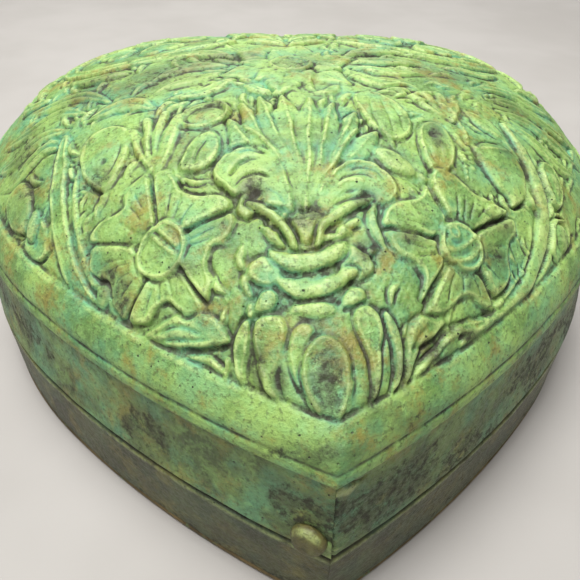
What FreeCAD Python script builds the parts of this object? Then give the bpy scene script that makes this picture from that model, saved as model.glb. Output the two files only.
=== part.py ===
import FreeCAD
import Part
import math
import os

import Sketcher

# Heart-shaped hinged trinket box in heavy sheet brass, built as a parametric FreeCAD document.
#
# The plan outline of each half is three tangent arcs: a long side arc from the tip, a flank arc, and a
# lobe arc that ends in the cleft. An inset outline keeps the arcs' centres and takes the inset off
# their radii, so every sheet follows the one in front of it.
# The base has a floor plate, two wall strips soldered at the tip and the cleft, and an inner rim that
# the lid drops over. The lid has two leaning wall strips and a domed top. A knuckle hinge bridges the
# cleft: each leaf is a flat plate soldered into the V between the lobes.
#
# Frame: +Z up, the tip towards -Y, the hinge towards +Y, origin under the middle of the whole box.
# Lengths are millimetres, angles are degrees.

DRIVING = {
    # plan outline of the right half at the seam: arc centres and radii
    "side_radius": 165.5,
    "side_centre_x": -77.84,
    "side_centre_y": 82.33,
    "flank_radius": 72.2,
    "lobe_radius": 31.8,
    "lobe_centre_x": 28.2,
    "lobe_centre_y": 25.16,
    # heights above the table
    "floor_sheet": 1.2,
    "seam_height": 13.0,
    "seam_gap": 0.3,
    "shoulder_height": 25.4,
    "dome_rise": 26.4,
    # sheets, and the insets that set one inside another
    "base_sheet": 2.0,
    "rim_sheet": 1.0,
    "rim_above": 3.0,
    "rim_below": 6.0,
    "lid_sheet": 1.2,
    "lid_lean": 1.7,
    "dome_sheet": 1.2,
    "dome_inset": 1.5,
    "dome_edge": 1.6,
    "dome_centre_y": -4.5,
    "solder_reach": 3.0,
    # hinge
    "axis_y": 59.45,
    "knuckle_radius": 2.2,
    "pin_radius": 1.1,
    "pin_grip": 0.02,
    "pin_play": 0.05,
    "pin_head_radius": 1.7,
    "pin_head_length": 0.7,
    "barrel_half": 9.0,
    "middle_half": 3.3,
    "knuckle_play": 0.3,
    "leaf_sheet": 1.2,
    "leaf_gap": 0.15,
    "heel_reach": 4.2,
    "heel_sheet": 1.4,
    "open_angle": 100.0,
    "apron_sheet": 1.2,
    "apron_drop": 5.0,
    "stop_play": 0.05,
    # thumb boss on the left lid wall, beside the tip
    "boss_radius": 2.4,
    "boss_height": 1.5,
    "boss_round": 0.7,
    "boss_rise": 2.6,
    "boss_from_tip": 3.4,
}

# The rings of the dome, each as a share of the full outline. A ring's height above the shoulder is
# (1 - size^SIZE_POWER)^RISE_POWER of the rise: a flat crown and steep sides. The lobes close up faster
# than the ring shrinks, by up to LOBE_CLOSING of their distance, so the cleft fades at the crown.
RING_SIZES = (1.0, 0.97, 0.9, 0.78, 0.6, 0.4, 0.15)
SIZE_POWER = 2.46
RISE_POWER = 0.69
LOBE_CLOSING = 0.5

# Sketcher's numbers for a point on an element, for the origin and for the vertical axis.
START, END, CENTRE = 1, 2, 3
ORIGIN = (-1, 1)
VERTICAL_AXIS = -2

doc = FreeCAD.newDocument("heart_box")


# ---------------------------------------------------------------- driving dimensions and expressions

def make_sheet():
    """Puts every driving dimension in a spreadsheet cell with an alias."""
    sheet = doc.addObject("Spreadsheet::Sheet", "Dims")
    for row, (name, value) in enumerate(DRIVING.items(), start=1):
        sheet.set(f"A{row}", name)
        sheet.set(f"B{row}", str(value))
        sheet.setAlias(f"B{row}", name)
    doc.recompute()
    return sheet


SHEET = make_sheet()


def number(expression):
    """The number that an expression in the sheet's dimensions stands for."""
    found = SHEET.evalExpression(expression.replace("Dims.", ""))
    return float(getattr(found, "Value", found))


def outline(inset="0"):
    """The arcs of the plan outline, moved in by an inset, as expressions."""
    return {
        "side_x": "Dims.side_centre_x",
        "side_y": "Dims.side_centre_y",
        "side_r": f"Dims.side_radius - ({inset})",
        "flank_r": f"Dims.flank_radius - ({inset})",
        "lobe_x": "Dims.lobe_centre_x",
        "lobe_y": "Dims.lobe_centre_y",
        "lobe_r": f"Dims.lobe_radius - ({inset})",
    }


def dome_ring(shrink, inset):
    """The arcs of one ring of the dome: the inset outline shrunk towards the dome's centre."""
    edge = outline(inset)
    lobe_x = f"Dims.lobe_centre_x * {shrink} * (1 - {LOBE_CLOSING} * (1 - {shrink}))"
    lobe_r = f"{shrink} * (Dims.lobe_centre_x + {edge['lobe_r']}) - {lobe_x}"
    rear = f"Dims.dome_centre_y + {shrink} * (Dims.lobe_centre_y + {edge['lobe_r']} - Dims.dome_centre_y)"
    return {
        "side_x": f"{shrink} * Dims.side_centre_x",
        "side_y": f"Dims.dome_centre_y + {shrink} * (Dims.side_centre_y - Dims.dome_centre_y)",
        "side_r": f"{shrink} * ({edge['side_r']})",
        "flank_r": f"{shrink} * ({edge['flank_r']})",
        "lobe_x": lobe_x,
        "lobe_y": f"{rear} - ({lobe_r})",
        "lobe_r": lobe_r,
    }


# ---------------------------------------------------------------- bodies and sketches

def new_body(label):
    """An empty body whose label names its file."""
    body = doc.addObject("PartDesign::Body", label)
    body.Label = label
    return body


def new_sketch(body, name, plane="XY_Plane", height="0"):
    """A sketch on one of the body's own planes, moved along the plane's normal."""
    sketch = body.newObject("Sketcher::SketchObject", f"{body.Label}_{name}")
    support = next(item for item in body.Origin.OriginFeatures if item.Role == plane)
    sketch.AttachmentSupport = [(support, "")]
    sketch.MapMode = "FlatFace"
    sketch.setExpression("AttachmentOffset.Base.z", height)
    return sketch


def constrain(sketch, kind, *where):
    """Adds a constraint that has no size."""
    sketch.addConstraint(Sketcher.Constraint(kind, *where))


def bind(sketch, kind, where, expression):
    """Adds a constraint whose size follows an expression."""
    index = sketch.addConstraint(Sketcher.Constraint(kind, *where, number(expression)))
    sketch.setExpression(f"Constraints[{index}]", expression)


def bind_point(sketch, element, point, x, y):
    """Holds a point at a place given by two expressions."""
    bind(sketch, "DistanceX", (*ORIGIN, element, point), x)
    bind(sketch, "DistanceY", (*ORIGIN, element, point), y)


def add_line(sketch, first, last):
    """A straight edge between two points given as numbers."""
    return sketch.addGeometry(Part.LineSegment(FreeCAD.Vector(*first, 0), FreeCAD.Vector(*last, 0)))


def add_arc(sketch, centre, radius, first, last):
    """A counter-clockwise arc between two angles in radians."""
    circle = Part.Circle(FreeCAD.Vector(*centre, 0), FreeCAD.Vector(0, 0, 1), radius)
    return sketch.addGeometry(Part.ArcOfCircle(circle, first, last))


def join(sketch, first, first_point, last, last_point):
    """Brings two edges' ends together."""
    constrain(sketch, "Coincident", first, first_point, last, last_point)


def flank_centre(arcs):
    """Where the flank arc's centre lies, tangent to the side arc inside it and to the lobe arc round it."""
    side_gap = arcs["side_r"] - arcs["flank_r"]
    lobe_gap = arcs["flank_r"] - arcs["lobe_r"]
    across_x = arcs["lobe_x"] - arcs["side_x"]
    across_y = arcs["lobe_y"] - arcs["side_y"]
    across = math.hypot(across_x, across_y)
    along = (across**2 + side_gap**2 - lobe_gap**2) / (2 * across)
    aside = math.sqrt(side_gap**2 - along**2)
    unit_x, unit_y = across_x / across, across_y / across
    flank_x = arcs["side_x"] + along * unit_x + aside * unit_y
    flank_y = arcs["side_y"] + along * unit_y - aside * unit_x
    return flank_x, flank_y


def add_half(sketch, expressions, side=1):
    """Draws the three arcs of one half, from the tip to the cleft; side is 1 for right and -1 for left."""
    arcs = {name: number(text) for name, text in expressions.items()}
    flank_x, flank_y = flank_centre(arcs)
    tip_angle = -math.acos(-arcs["side_x"] / arcs["side_r"])
    flank_angle = math.atan2(flank_y - arcs["side_y"], flank_x - arcs["side_x"])
    lobe_angle = math.atan2(arcs["lobe_y"] - flank_y, arcs["lobe_x"] - flank_x)
    cleft_angle = math.pi - math.acos(arcs["lobe_x"] / arcs["lobe_r"])
    drawn = []
    for centre, radius, first, last in (
        ((arcs["side_x"], arcs["side_y"]), arcs["side_r"], tip_angle, flank_angle),
        ((flank_x, flank_y), arcs["flank_r"], flank_angle, lobe_angle),
        ((arcs["lobe_x"], arcs["lobe_y"]), arcs["lobe_r"], lobe_angle, cleft_angle),
    ):
        if side < 0:
            first, last = math.pi - last, math.pi - first
        drawn.append(add_arc(sketch, (side * centre[0], centre[1]), radius, first, last))
    out, back = (END, START) if side > 0 else (START, END)
    for first, last in zip(drawn, drawn[1:]):
        constrain(sketch, "Tangent", first, out, last, back)
    for arc, name in zip(drawn, ("side", "flank", "lobe")):
        bind(sketch, "Radius", (arc,), expressions[f"{name}_r"])
        if name != "flank":
            centre_x = f"{side} * ({expressions[f'{name}_x']})"
            bind_point(sketch, arc, CENTRE, centre_x, expressions[f"{name}_y"])
    constrain(sketch, "PointOnObject", drawn[0], back, VERTICAL_AXIS)
    constrain(sketch, "PointOnObject", drawn[2], out, VERTICAL_AXIS)
    return drawn


def heart_sketch(body, name, expressions, height):
    """A whole closed outline at a height."""
    sketch = new_sketch(body, name, height=height)
    add_half(sketch, expressions, side=1)
    add_half(sketch, expressions, side=-1)
    return sketch


def strip_sketch(body, name, outer_inset, inner_inset, height):
    """The right half of the band between two insets, cut off square on the centre line."""
    sketch = new_sketch(body, name, height=height)
    outer = add_half(sketch, outline(outer_inset))
    inner = add_half(sketch, outline(inner_inset))
    ends = [(0, START), (2, END)]
    for index, point in ends:
        here = sketch.getPoint(outer[index], point)
        there = sketch.getPoint(inner[index], point)
        line = add_line(sketch, (here.x, here.y), (there.x, there.y))
        join(sketch, outer[index], point, line, START)
        join(sketch, line, END, inner[index], point)
    return sketch


def corner_sketch(body, name, centre_x, centre_y, radius, corner_side, height):
    """The small area between a pair of mirrored arcs, from the corner where they meet up to a chord.

    corner_side is -1 where the arcs meet below their centres, as at the tip, and 1 at the cleft.
    """
    sketch = new_sketch(body, name, height=height)
    x, y, r = number(centre_x), number(centre_y), number(radius)
    corner_y = y + corner_side * math.sqrt(r * r - x * x)
    chord_y = corner_y + number("Dims.solder_reach")
    corner_angle = math.atan2(corner_y - y, -x)
    chord_angle = math.atan2(chord_y - y, -math.copysign(math.sqrt(r * r - (chord_y - y) ** 2), x))
    first, last = sorted((corner_angle, chord_angle))
    at_corner, at_chord = (START, END) if first == corner_angle else (END, START)
    right = add_arc(sketch, (x, y), r, first, last)
    left = add_arc(sketch, (-x, y), r, math.pi - last, math.pi - first)
    chord_x = sketch.getPoint(right, at_chord).x
    chord = add_line(sketch, (-chord_x, chord_y), (chord_x, chord_y))
    for arc, sign, corner in ((right, "1", at_corner), (left, "-1", at_chord)):
        bind(sketch, "Radius", (arc,), radius)
        bind_point(sketch, arc, CENTRE, f"{sign} * ({centre_x})", centre_y)
        constrain(sketch, "PointOnObject", arc, corner, VERTICAL_AXIS)
    join(sketch, chord, END, right, at_chord)
    join(sketch, chord, START, left, at_corner)
    constrain(sketch, "Horizontal", chord)
    bind(sketch, "DistanceY", (right, at_corner, chord, END), "Dims.solder_reach")
    return sketch


def rectangle_sketch(body, name, plane, low, high, height="0"):
    """A rectangle between two corners given as pairs of expressions."""
    sketch = new_sketch(body, name, plane, height)
    left, bottom, right, top = (number(text) for text in (*low, *high))
    corners = [(left, bottom), (right, bottom), (right, top), (left, top)]
    edges = [add_line(sketch, corners[i], corners[(i + 1) % 4]) for i in range(4)]
    for i in range(4):
        join(sketch, edges[i], END, edges[(i + 1) % 4], START)
    for index in (0, 2):
        constrain(sketch, "Horizontal", edges[index])
        constrain(sketch, "Vertical", edges[index + 1])
    bind_point(sketch, edges[0], START, *low)
    bind_point(sketch, edges[1], END, *high)
    return sketch


def circle_sketch(body, name, plane, x, y, radius, height="0"):
    """A circle whose centre and radius follow expressions."""
    sketch = new_sketch(body, name, plane, height)
    middle = FreeCAD.Vector(number(x), number(y), 0)
    circle = sketch.addGeometry(Part.Circle(middle, FreeCAD.Vector(0, 0, 1), number(radius)))
    bind(sketch, "Radius", (circle,), radius)
    bind_point(sketch, circle, CENTRE, x, y)
    return sketch


# ---------------------------------------------------------------- features

def pad(body, sketch, length, both_ways=False):
    """Extrudes a sketch by an expression."""
    feature = body.newObject("PartDesign::Pad", f"{sketch.Name}_pad")
    feature.Profile = sketch
    feature.Midplane = both_ways
    feature.setExpression("Length", length)
    doc.recompute()
    return feature


def pocket(body, sketch, length):
    """Cuts a sketch both ways from its plane, and makes sure that it cut something."""
    before = body.Shape.Volume
    feature = body.newObject("PartDesign::Pocket", f"{sketch.Name}_pocket")
    feature.Profile = sketch
    feature.Midplane = True
    feature.setExpression("Length", length)
    doc.recompute()
    if not body.Shape.Volume < before:
        raise RuntimeError(f"{feature.Name} cuts nothing")


def loft(body, sketches, kind="AdditiveLoft", ruled=True):
    """Joins sketches at different heights into one solid, or one hollow."""
    feature = body.newObject(f"PartDesign::{kind}", f"{sketches[0].Name}_{kind}")
    feature.Profile = sketches[0]
    feature.Sections = sketches[1:]
    feature.Ruled = ruled
    doc.recompute()


def mirrored(source, label):
    """The left-hand twin of a right-hand piece."""
    twin = doc.addObject("Part::Mirroring", label)
    twin.Label = label
    twin.Source = source
    twin.Base = FreeCAD.Vector(0, 0, 0)
    twin.Normal = FreeCAD.Vector(1, 0, 0)
    doc.recompute()
    return twin


# ---------------------------------------------------------------- base

def make_floor():
    """Floor plate: the full outline, lying on the table."""
    body = new_body("base_floor")
    pad(body, heart_sketch(body, "outline", outline(), "0"), "Dims.floor_sheet")
    return [body]


def make_base_walls():
    """Two upright wall strips on the floor plate, meeting at the tip and the cleft."""
    body = new_body("base_wall_right")
    strip = strip_sketch(body, "strip", "0", "Dims.base_sheet", "Dims.floor_sheet")
    pad(body, strip, "Dims.seam_height - Dims.floor_sheet")
    return [body, mirrored(body, "base_wall_left")]


def make_rims():
    """Two inner strips soldered inside the base wall, standing above the seam to guide the lid."""
    body = new_body("inner_rim_right")
    inner = "Dims.base_sheet + Dims.rim_sheet"
    strip = strip_sketch(body, "strip", "Dims.base_sheet", inner, "Dims.seam_height - Dims.rim_below")
    pad(body, strip, "Dims.rim_below + Dims.rim_above")
    return [body, mirrored(body, "inner_rim_left")]


def solder(label, corner, insets, heights):
    """A solder bead up a corner between two strips, from one height and inset to the next."""
    body = new_body(label)
    arc, corner_side = {"tip": ("side", -1), "cleft": ("lobe", 1)}[corner]
    sketches = [
        corner_sketch(body, name, f"Dims.{arc}_centre_x", f"Dims.{arc}_centre_y",
                      f"Dims.{arc}_radius - ({inset})", corner_side, height)
        for name, inset, height in zip(("low", "high"), insets, heights)
    ]
    loft(body, sketches)
    return body


def make_base_solder():
    """Beads in the base: inside the tip, and outside in the cleft below the hinge leaf."""
    under_rim = "Dims.seam_height - Dims.rim_below"
    under_leaf = "Dims.seam_height - Dims.leaf_gap - Dims.leaf_sheet"
    return [
        solder("base_tip_solder", "tip", ["Dims.base_sheet"] * 2, ["Dims.floor_sheet", under_rim]),
        solder("base_cleft_solder", "cleft", ["0", "0"], ["0", under_leaf]),
    ]


# ---------------------------------------------------------------- lid

def make_lid_walls():
    """Two wall strips that lean in from the seam to the shoulder."""
    body = new_body("lid_wall_right")
    low = strip_sketch(body, "low", "0", "Dims.lid_sheet", "Dims.seam_height + Dims.seam_gap")
    inner = "Dims.lid_lean + Dims.lid_sheet"
    high = strip_sketch(body, "high", "Dims.lid_lean", inner, "Dims.shoulder_height")
    loft(body, [low, high])
    return [body, mirrored(body, "lid_wall_left")]


def make_lid_solder():
    """Beads in the lid: inside the tip above the rim, and outside in the cleft above the hinge leaf."""
    wall_rise = "(Dims.shoulder_height - Dims.seam_height - Dims.seam_gap)"

    def lean_at(height):
        return f"Dims.lid_lean * ({height} - Dims.seam_height - Dims.seam_gap) / {wall_rise}"

    above_rim = "Dims.seam_height + Dims.rim_above + Dims.knuckle_play"
    above_leaf = "Dims.seam_height + Dims.leaf_gap + Dims.leaf_sheet"
    inner = [f"Dims.lid_sheet + {lean_at(above_rim)}", "Dims.lid_sheet + Dims.lid_lean"]
    return [
        solder("lid_tip_solder", "tip", inner, [above_rim, "Dims.shoulder_height"]),
        solder("lid_cleft_solder", "cleft", [lean_at(above_leaf), "Dims.lid_lean"],
               [above_leaf, "Dims.shoulder_height"]),
    ]


def make_dome():
    """Domed top sheet: one loft through rings, hollowed by a second loft one sheet below."""
    body = new_body("lid_dome")
    for name, kind, inset, drop in (
        ("outer", "AdditiveLoft", "Dims.dome_inset", "0"),
        ("inner", "SubtractiveLoft", "Dims.dome_inset + Dims.dome_edge", "Dims.dome_sheet"),
    ):
        rings = []
        for ring, shrink in enumerate(RING_SIZES):
            below = drop if ring else "0"
            risen = (1 - shrink**SIZE_POWER) ** RISE_POWER
            height = f"Dims.shoulder_height + Dims.dome_rise * {risen:.4f} - {below}"
            rings.append(heart_sketch(body, f"{name}_{ring}", dome_ring(shrink, inset), height))
        loft(body, rings, kind, ruled=False)
    return [body]


def make_boss():
    """Round stud with a rounded rim, soldered to the left lid wall beside the tip, for the thumb."""
    body = new_body("thumb_boss")
    pad(body, circle_sketch(body, "disc", "XY_Plane", "0", "0", "Dims.boss_radius"), "Dims.boss_height")
    rim = body.newObject("PartDesign::Fillet", "thumb_boss_round")
    top_edges = [
        f"Edge{index}" for index, edge in enumerate(body.Shape.Edges, start=1)
        if edge.BoundBox.ZMin > number("Dims.boss_height") / 2
    ]
    rim.Base = (body.Tip if body.Tip != rim else rim.BaseFeature, top_edges)
    rim.setExpression("Radius", "Dims.boss_round")
    doc.recompute()

    turn = math.asin(number("-Dims.side_centre_x / Dims.side_radius"))
    turn += number("Dims.boss_from_tip / Dims.side_radius")
    wall_rise = number("Dims.shoulder_height - Dims.seam_height - Dims.seam_gap")
    lean = math.atan(number("Dims.lid_lean") / wall_rise)
    outward = FreeCAD.Vector(-math.sin(turn), -math.cos(turn), 0)
    radius = number("Dims.side_radius") - number("Dims.lid_lean * Dims.boss_rise") / wall_rise
    foot = FreeCAD.Vector(number("-Dims.side_centre_x"), number("Dims.side_centre_y"), 0) + outward * radius
    foot.z = number("Dims.seam_height + Dims.seam_gap + Dims.boss_rise")
    facing = outward * math.cos(lean) + FreeCAD.Vector(0, 0, math.sin(lean))
    body.Placement = FreeCAD.Placement(foot, FreeCAD.Rotation(FreeCAD.Vector(0, 0, 1), facing))
    doc.recompute()
    return [body]


# ---------------------------------------------------------------- hinge

def leaf_plate(body, low):
    """Flat plate that fills the V between the lobes and stops short of the barrel."""
    sketch = new_sketch(body, "plate", height=low)
    x, y, r = number("Dims.lobe_centre_x"), number("Dims.lobe_centre_y"), number("Dims.lobe_radius")
    half = number("Dims.barrel_half")
    stop_text = "Dims.axis_y - Dims.knuckle_radius - Dims.knuckle_play"
    stop = number(stop_text)
    cleft_angle = math.pi - math.acos(x / r)
    edge_angle = math.pi - math.acos((x - half) / r)
    edge_y = y + r * math.sin(edge_angle)
    right_arc = add_arc(sketch, (x, y), r, edge_angle, cleft_angle)
    left_arc = add_arc(sketch, (-x, y), r, math.pi - cleft_angle, math.pi - edge_angle)
    right = add_line(sketch, (half, edge_y), (half, stop))
    top = add_line(sketch, (half, stop), (-half, stop))
    left = add_line(sketch, (-half, stop), (-half, edge_y))
    for arc, sign, cleft_end in ((right_arc, "1", END), (left_arc, "-1", START)):
        bind(sketch, "Radius", (arc,), "Dims.lobe_radius")
        bind_point(sketch, arc, CENTRE, f"{sign} * Dims.lobe_centre_x", "Dims.lobe_centre_y")
        constrain(sketch, "PointOnObject", arc, cleft_end, VERTICAL_AXIS)
    join(sketch, right_arc, START, right, START)
    join(sketch, right, END, top, START)
    join(sketch, top, END, left, START)
    join(sketch, left, END, left_arc, END)
    constrain(sketch, "Vertical", right)
    constrain(sketch, "Vertical", left)
    bind_point(sketch, top, START, "Dims.barrel_half", stop_text)
    bind_point(sketch, top, END, "-1 * Dims.barrel_half", stop_text)
    pad(body, sketch, "Dims.leaf_sheet")


def make_leaf(label, low, knuckles, bore, tab_low, tab_high):
    """One hinge leaf: plate, a web and a knuckle for each span along the axis, a bore, and a stop tab."""
    body = new_body(label)
    leaf_plate(body, low)
    web_start = "Dims.axis_y - Dims.knuckle_radius - 2 * Dims.knuckle_play"
    for index, (first, last) in enumerate(knuckles):
        corners = (first, web_start), (last, "Dims.axis_y")
        web = rectangle_sketch(body, f"web_{index}", "XY_Plane", *corners, low)
        pad(body, web, "Dims.leaf_sheet")
        knuckle = circle_sketch(body, f"knuckle_{index}", "YZ_Plane", "Dims.axis_y", "Dims.seam_height",
                                "Dims.knuckle_radius", first)
        pad(body, knuckle, f"{last} - ({first})")
    tab = rectangle_sketch(body, "tab", "YZ_Plane", tab_low, tab_high)
    pad(body, tab, "2 * Dims.middle_half", both_ways=True)
    hole = circle_sketch(body, "bore", "YZ_Plane", "Dims.axis_y", "Dims.seam_height", bore)
    pocket(body, hole, "4 * Dims.barrel_half")
    return body


def make_hinge():
    """Two leaves and a headed pin. The heel under the lid's knuckle meets the base's apron when open."""
    inner = "(Dims.middle_half + Dims.knuckle_play)"
    outer = "Dims.barrel_half"
    heel_bottom = "(Dims.seam_height - Dims.knuckle_radius)"
    opened = "(Dims.open_angle * 1 deg)"
    heel_swing = f"(Dims.knuckle_radius * sin({opened}) - Dims.heel_reach * cos({opened}))"
    apron_face = f"Dims.axis_y - {heel_swing} - Dims.stop_play"
    lid_leaf = make_leaf(
        "lid_hinge_leaf", "Dims.seam_height + Dims.leaf_gap", [("-1 * Dims.middle_half", "Dims.middle_half")],
        "Dims.pin_radius + Dims.pin_play", ("Dims.axis_y", heel_bottom),
        ("Dims.axis_y + Dims.heel_reach", f"{heel_bottom} + Dims.heel_sheet"),
    )
    base_leaf = make_leaf(
        "base_hinge_leaf", "Dims.seam_height - Dims.leaf_gap - Dims.leaf_sheet",
        [(inner, outer), (f"-1 * {outer}", f"-1 * {inner}")], "Dims.pin_radius + Dims.pin_grip",
        (f"{apron_face} - Dims.apron_sheet", "Dims.seam_height - Dims.apron_drop"),
        (apron_face, "Dims.seam_height - Dims.leaf_gap - Dims.leaf_sheet / 2"),
    )
    pin = new_body("hinge_pin")
    shank = circle_sketch(pin, "shank", "YZ_Plane", "Dims.axis_y", "Dims.seam_height", "Dims.pin_radius")
    pad(pin, shank, "2 * (Dims.barrel_half + Dims.pin_grip)", both_ways=True)
    for name, start in (("head", "Dims.barrel_half + Dims.pin_grip"),
                        ("tail", "-1 * (Dims.barrel_half + Dims.pin_grip + Dims.pin_head_length)")):
        cap = circle_sketch(pin, name, "YZ_Plane", "Dims.axis_y", "Dims.seam_height",
                            "Dims.pin_head_radius", start)
        pad(pin, cap, "Dims.pin_head_length")
    return [lid_leaf, base_leaf, pin]


# ---------------------------------------------------------------- check and write

def check(pieces):
    """Stops if any object failed or any piece is not one valid solid."""
    for item in doc.Objects:
        if {"Invalid", "Error"} & set(item.State):
            raise RuntimeError(f"{item.Name} is {item.State}")
    for piece in pieces:
        if piece.Shape.isNull() or not piece.Shape.isValid() or len(piece.Shape.Solids) != 1:
            raise RuntimeError(f"{piece.Label} is not one valid solid")


def write(pieces):
    """Writes each piece to its own file."""
    os.makedirs("parts", exist_ok=True)
    for piece in pieces:
        piece.Shape.exportStep(f"parts/{piece.Label}.step")
        box = piece.Shape.BoundBox
        print(f"{piece.Label:20s} volume {piece.Shape.Volume:9.1f}"
              f"  x {box.XMin:7.2f} {box.XMax:7.2f}  y {box.YMin:7.2f} {box.YMax:7.2f}"
              f"  z {box.ZMin:6.2f} {box.ZMax:6.2f}")


def main():
    pieces = []
    for make in (make_floor, make_base_walls, make_rims, make_base_solder,
                 make_lid_walls, make_lid_solder, make_dome, make_boss, make_hinge):
        pieces += make()
    doc.recompute()
    check(pieces)
    write(pieces)


main()
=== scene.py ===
"""Heart-shaped trinket box: an embossed, verdigris-covered lid on a plain low base.

The lid's top is one dense mesh. Its relief is composed in unrolled coordinates (u, v): u to the right
and v towards the hinge, both in millimetres along the sheet from the dome's centre, so a motif drawn
with even widths stays even on the curved sheet. Shapes are worked out in millimetres and turned into
metres when a mesh is made.
"""

import math

import bpy
import numpy as np
from mathutils import Matrix, Vector


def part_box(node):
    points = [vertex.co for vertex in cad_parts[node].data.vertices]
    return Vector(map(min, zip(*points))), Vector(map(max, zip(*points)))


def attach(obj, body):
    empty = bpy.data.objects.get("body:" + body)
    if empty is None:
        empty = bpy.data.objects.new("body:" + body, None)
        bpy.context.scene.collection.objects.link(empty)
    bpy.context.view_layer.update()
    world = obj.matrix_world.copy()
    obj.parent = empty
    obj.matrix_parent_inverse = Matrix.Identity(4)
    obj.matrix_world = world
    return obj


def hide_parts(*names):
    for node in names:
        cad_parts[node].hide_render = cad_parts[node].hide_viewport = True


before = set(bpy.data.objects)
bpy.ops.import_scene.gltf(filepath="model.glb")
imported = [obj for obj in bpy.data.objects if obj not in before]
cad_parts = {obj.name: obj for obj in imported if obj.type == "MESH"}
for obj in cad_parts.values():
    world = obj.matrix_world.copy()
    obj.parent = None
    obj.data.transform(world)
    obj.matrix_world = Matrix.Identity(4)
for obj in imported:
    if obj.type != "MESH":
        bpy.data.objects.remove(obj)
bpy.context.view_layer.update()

MM = 0.001

# Heights and edges that come from the frame, in millimetres.
TIP_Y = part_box("base_wall_right")[0].y / MM
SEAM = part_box("base_wall_right")[1].z / MM
WALL_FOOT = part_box("base_wall_right")[0].z / MM
LID_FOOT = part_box("lid_wall_right")[0].z / MM
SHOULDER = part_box("lid_dome")[0].z / MM
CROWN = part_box("lid_dome")[1].z / MM

# The plan outline of the right half, as in the CAD model: centre x, centre y, radius.
SIDE_ARC = (-77.84, 82.33, 165.5)
LOBE_ARC = (28.2, 25.16, 31.8)
FLANK_RADIUS = 72.2
LID_LEAN = 1.7
DOME_INSET = 1.5
DOME_CENTRE_Y = -4.5
SIZE_POWER = 2.46
RISE_POWER = 0.69
RELIEF_ROOM = 1.1          # the dome's smooth sheet lies this far below the CAD dome's crown
SHEET = 1.2
BROAD_KEPT = 0.45          # how much of the motifs' broad swelling stays, so the relief is low
FINE_KEPT = 0.72           # how much of their edges and fine lines stays


# ---------------------------------------------------------------- small mathematics

def smooth(low, high, value):
    """0 below low, 1 above high, smooth between."""
    share = np.clip((value - low) / (high - low), 0.0, 1.0)
    return share * share * (3 - 2 * share)


def curve_through(points, steps=8, closed=False):
    """A smooth curve through a few points, as a dense polyline (Catmull-Rom)."""
    p = np.asarray(points, float)
    if closed:
        p = np.vstack([p[-1], p, p[:2]])
    elif len(p) == 2:
        t = np.linspace(0, 1, steps + 1)[:, None]
        return p[0] * (1 - t) + p[1] * t
    else:
        p = np.vstack([2 * p[0] - p[1], p, 2 * p[-1] - p[-2]])
    t = np.linspace(0, 1, steps, endpoint=False)[:, None]
    spans = []
    for a, b, c, d in zip(p, p[1:], p[2:], p[3:]):
        spans.append(0.5 * (2 * b + (c - a) * t + (2 * a - 5 * b + 4 * c - d) * t**2
                            + (3 * b - a - 3 * c + d) * t**3))
    return np.vstack(spans + [p[-2][None, :]])


def inside_loop(loop, points):
    """Whether each point lies inside a closed polyline."""
    inside = np.zeros(len(points), bool)
    for (ax, ay), (bx, by) in zip(loop, loop[1:]):
        crosses = (ay > points[:, 1]) != (by > points[:, 1])
        if crosses.any():
            inside ^= crosses & (points[:, 0] < ax + (points[:, 1] - ay) * (bx - ax) / (by - ay + 1e-12))
    return inside


def nearest_on(path, points):
    """Distance from each point to a polyline, the share along it, and the signed side."""
    start, step = path[:-1], np.diff(path, axis=0)
    length2 = np.maximum((step**2).sum(1), 1e-9)
    run = np.concatenate([[0], np.cumsum(np.sqrt(length2))])
    best = np.full(len(points), 1e9)
    share = np.zeros(len(points))
    side = np.ones(len(points))
    for i in range(len(step)):
        rel = points - start[i]
        t = np.clip((rel @ step[i]) / length2[i], 0, 1)
        off = rel - t[:, None] * step[i]
        dist = np.hypot(off[:, 0], off[:, 1])
        closer = dist < best
        best = np.where(closer, dist, best)
        share = np.where(closer, (run[i] + t * (run[i + 1] - run[i])) / run[-1], share)
        turn = step[i][0] * rel[:, 1] - step[i][1] * rel[:, 0]
        side = np.where(closer, np.sign(turn), side)
    return best, share, side


def value_noise(x, y, cell, seed):
    """Smooth random numbers from -1 to 1, on a grid of the given cell size."""
    grid = np.random.default_rng(seed).uniform(-1, 1, (256, 256))
    gx, gy = x / cell + 1000.0, y / cell + 1000.0
    ix, iy = np.floor(gx).astype(int), np.floor(gy).astype(int)
    fx, fy = gx - ix, gy - iy
    fx, fy = fx * fx * (3 - 2 * fx), fy * fy * (3 - 2 * fy)
    a, b = grid[ix % 256, iy % 256], grid[(ix + 1) % 256, iy % 256]
    c, d = grid[ix % 256, (iy + 1) % 256], grid[(ix + 1) % 256, (iy + 1) % 256]
    return (a * (1 - fx) + b * fx) * (1 - fy) + (c * (1 - fx) + d * fx) * fy


def rough(x, y, cell, seed, octaves=3):
    """Fractal sum of value noise."""
    total = np.zeros_like(x)
    for k in range(octaves):
        total = total + value_noise(x, y, cell / 2**k, seed + 31 * k) / 2**k
    return total


# ---------------------------------------------------------------- outline and dome

def flank_centre(side, flank_radius, lobe):
    """Centre of the flank arc, tangent to the side arc inside it and to the lobe arc round it."""
    side_gap, lobe_gap = side[2] - flank_radius, flank_radius - lobe[2]
    across_x, across_y = lobe[0] - side[0], lobe[1] - side[1]
    across = math.hypot(across_x, across_y)
    along = (across**2 + side_gap**2 - lobe_gap**2) / (2 * across)
    aside = math.sqrt(side_gap**2 - along**2)
    ux, uy = across_x / across, across_y / across
    return side[0] + along * ux + aside * uy, side[1] + along * uy - aside * ux


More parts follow.
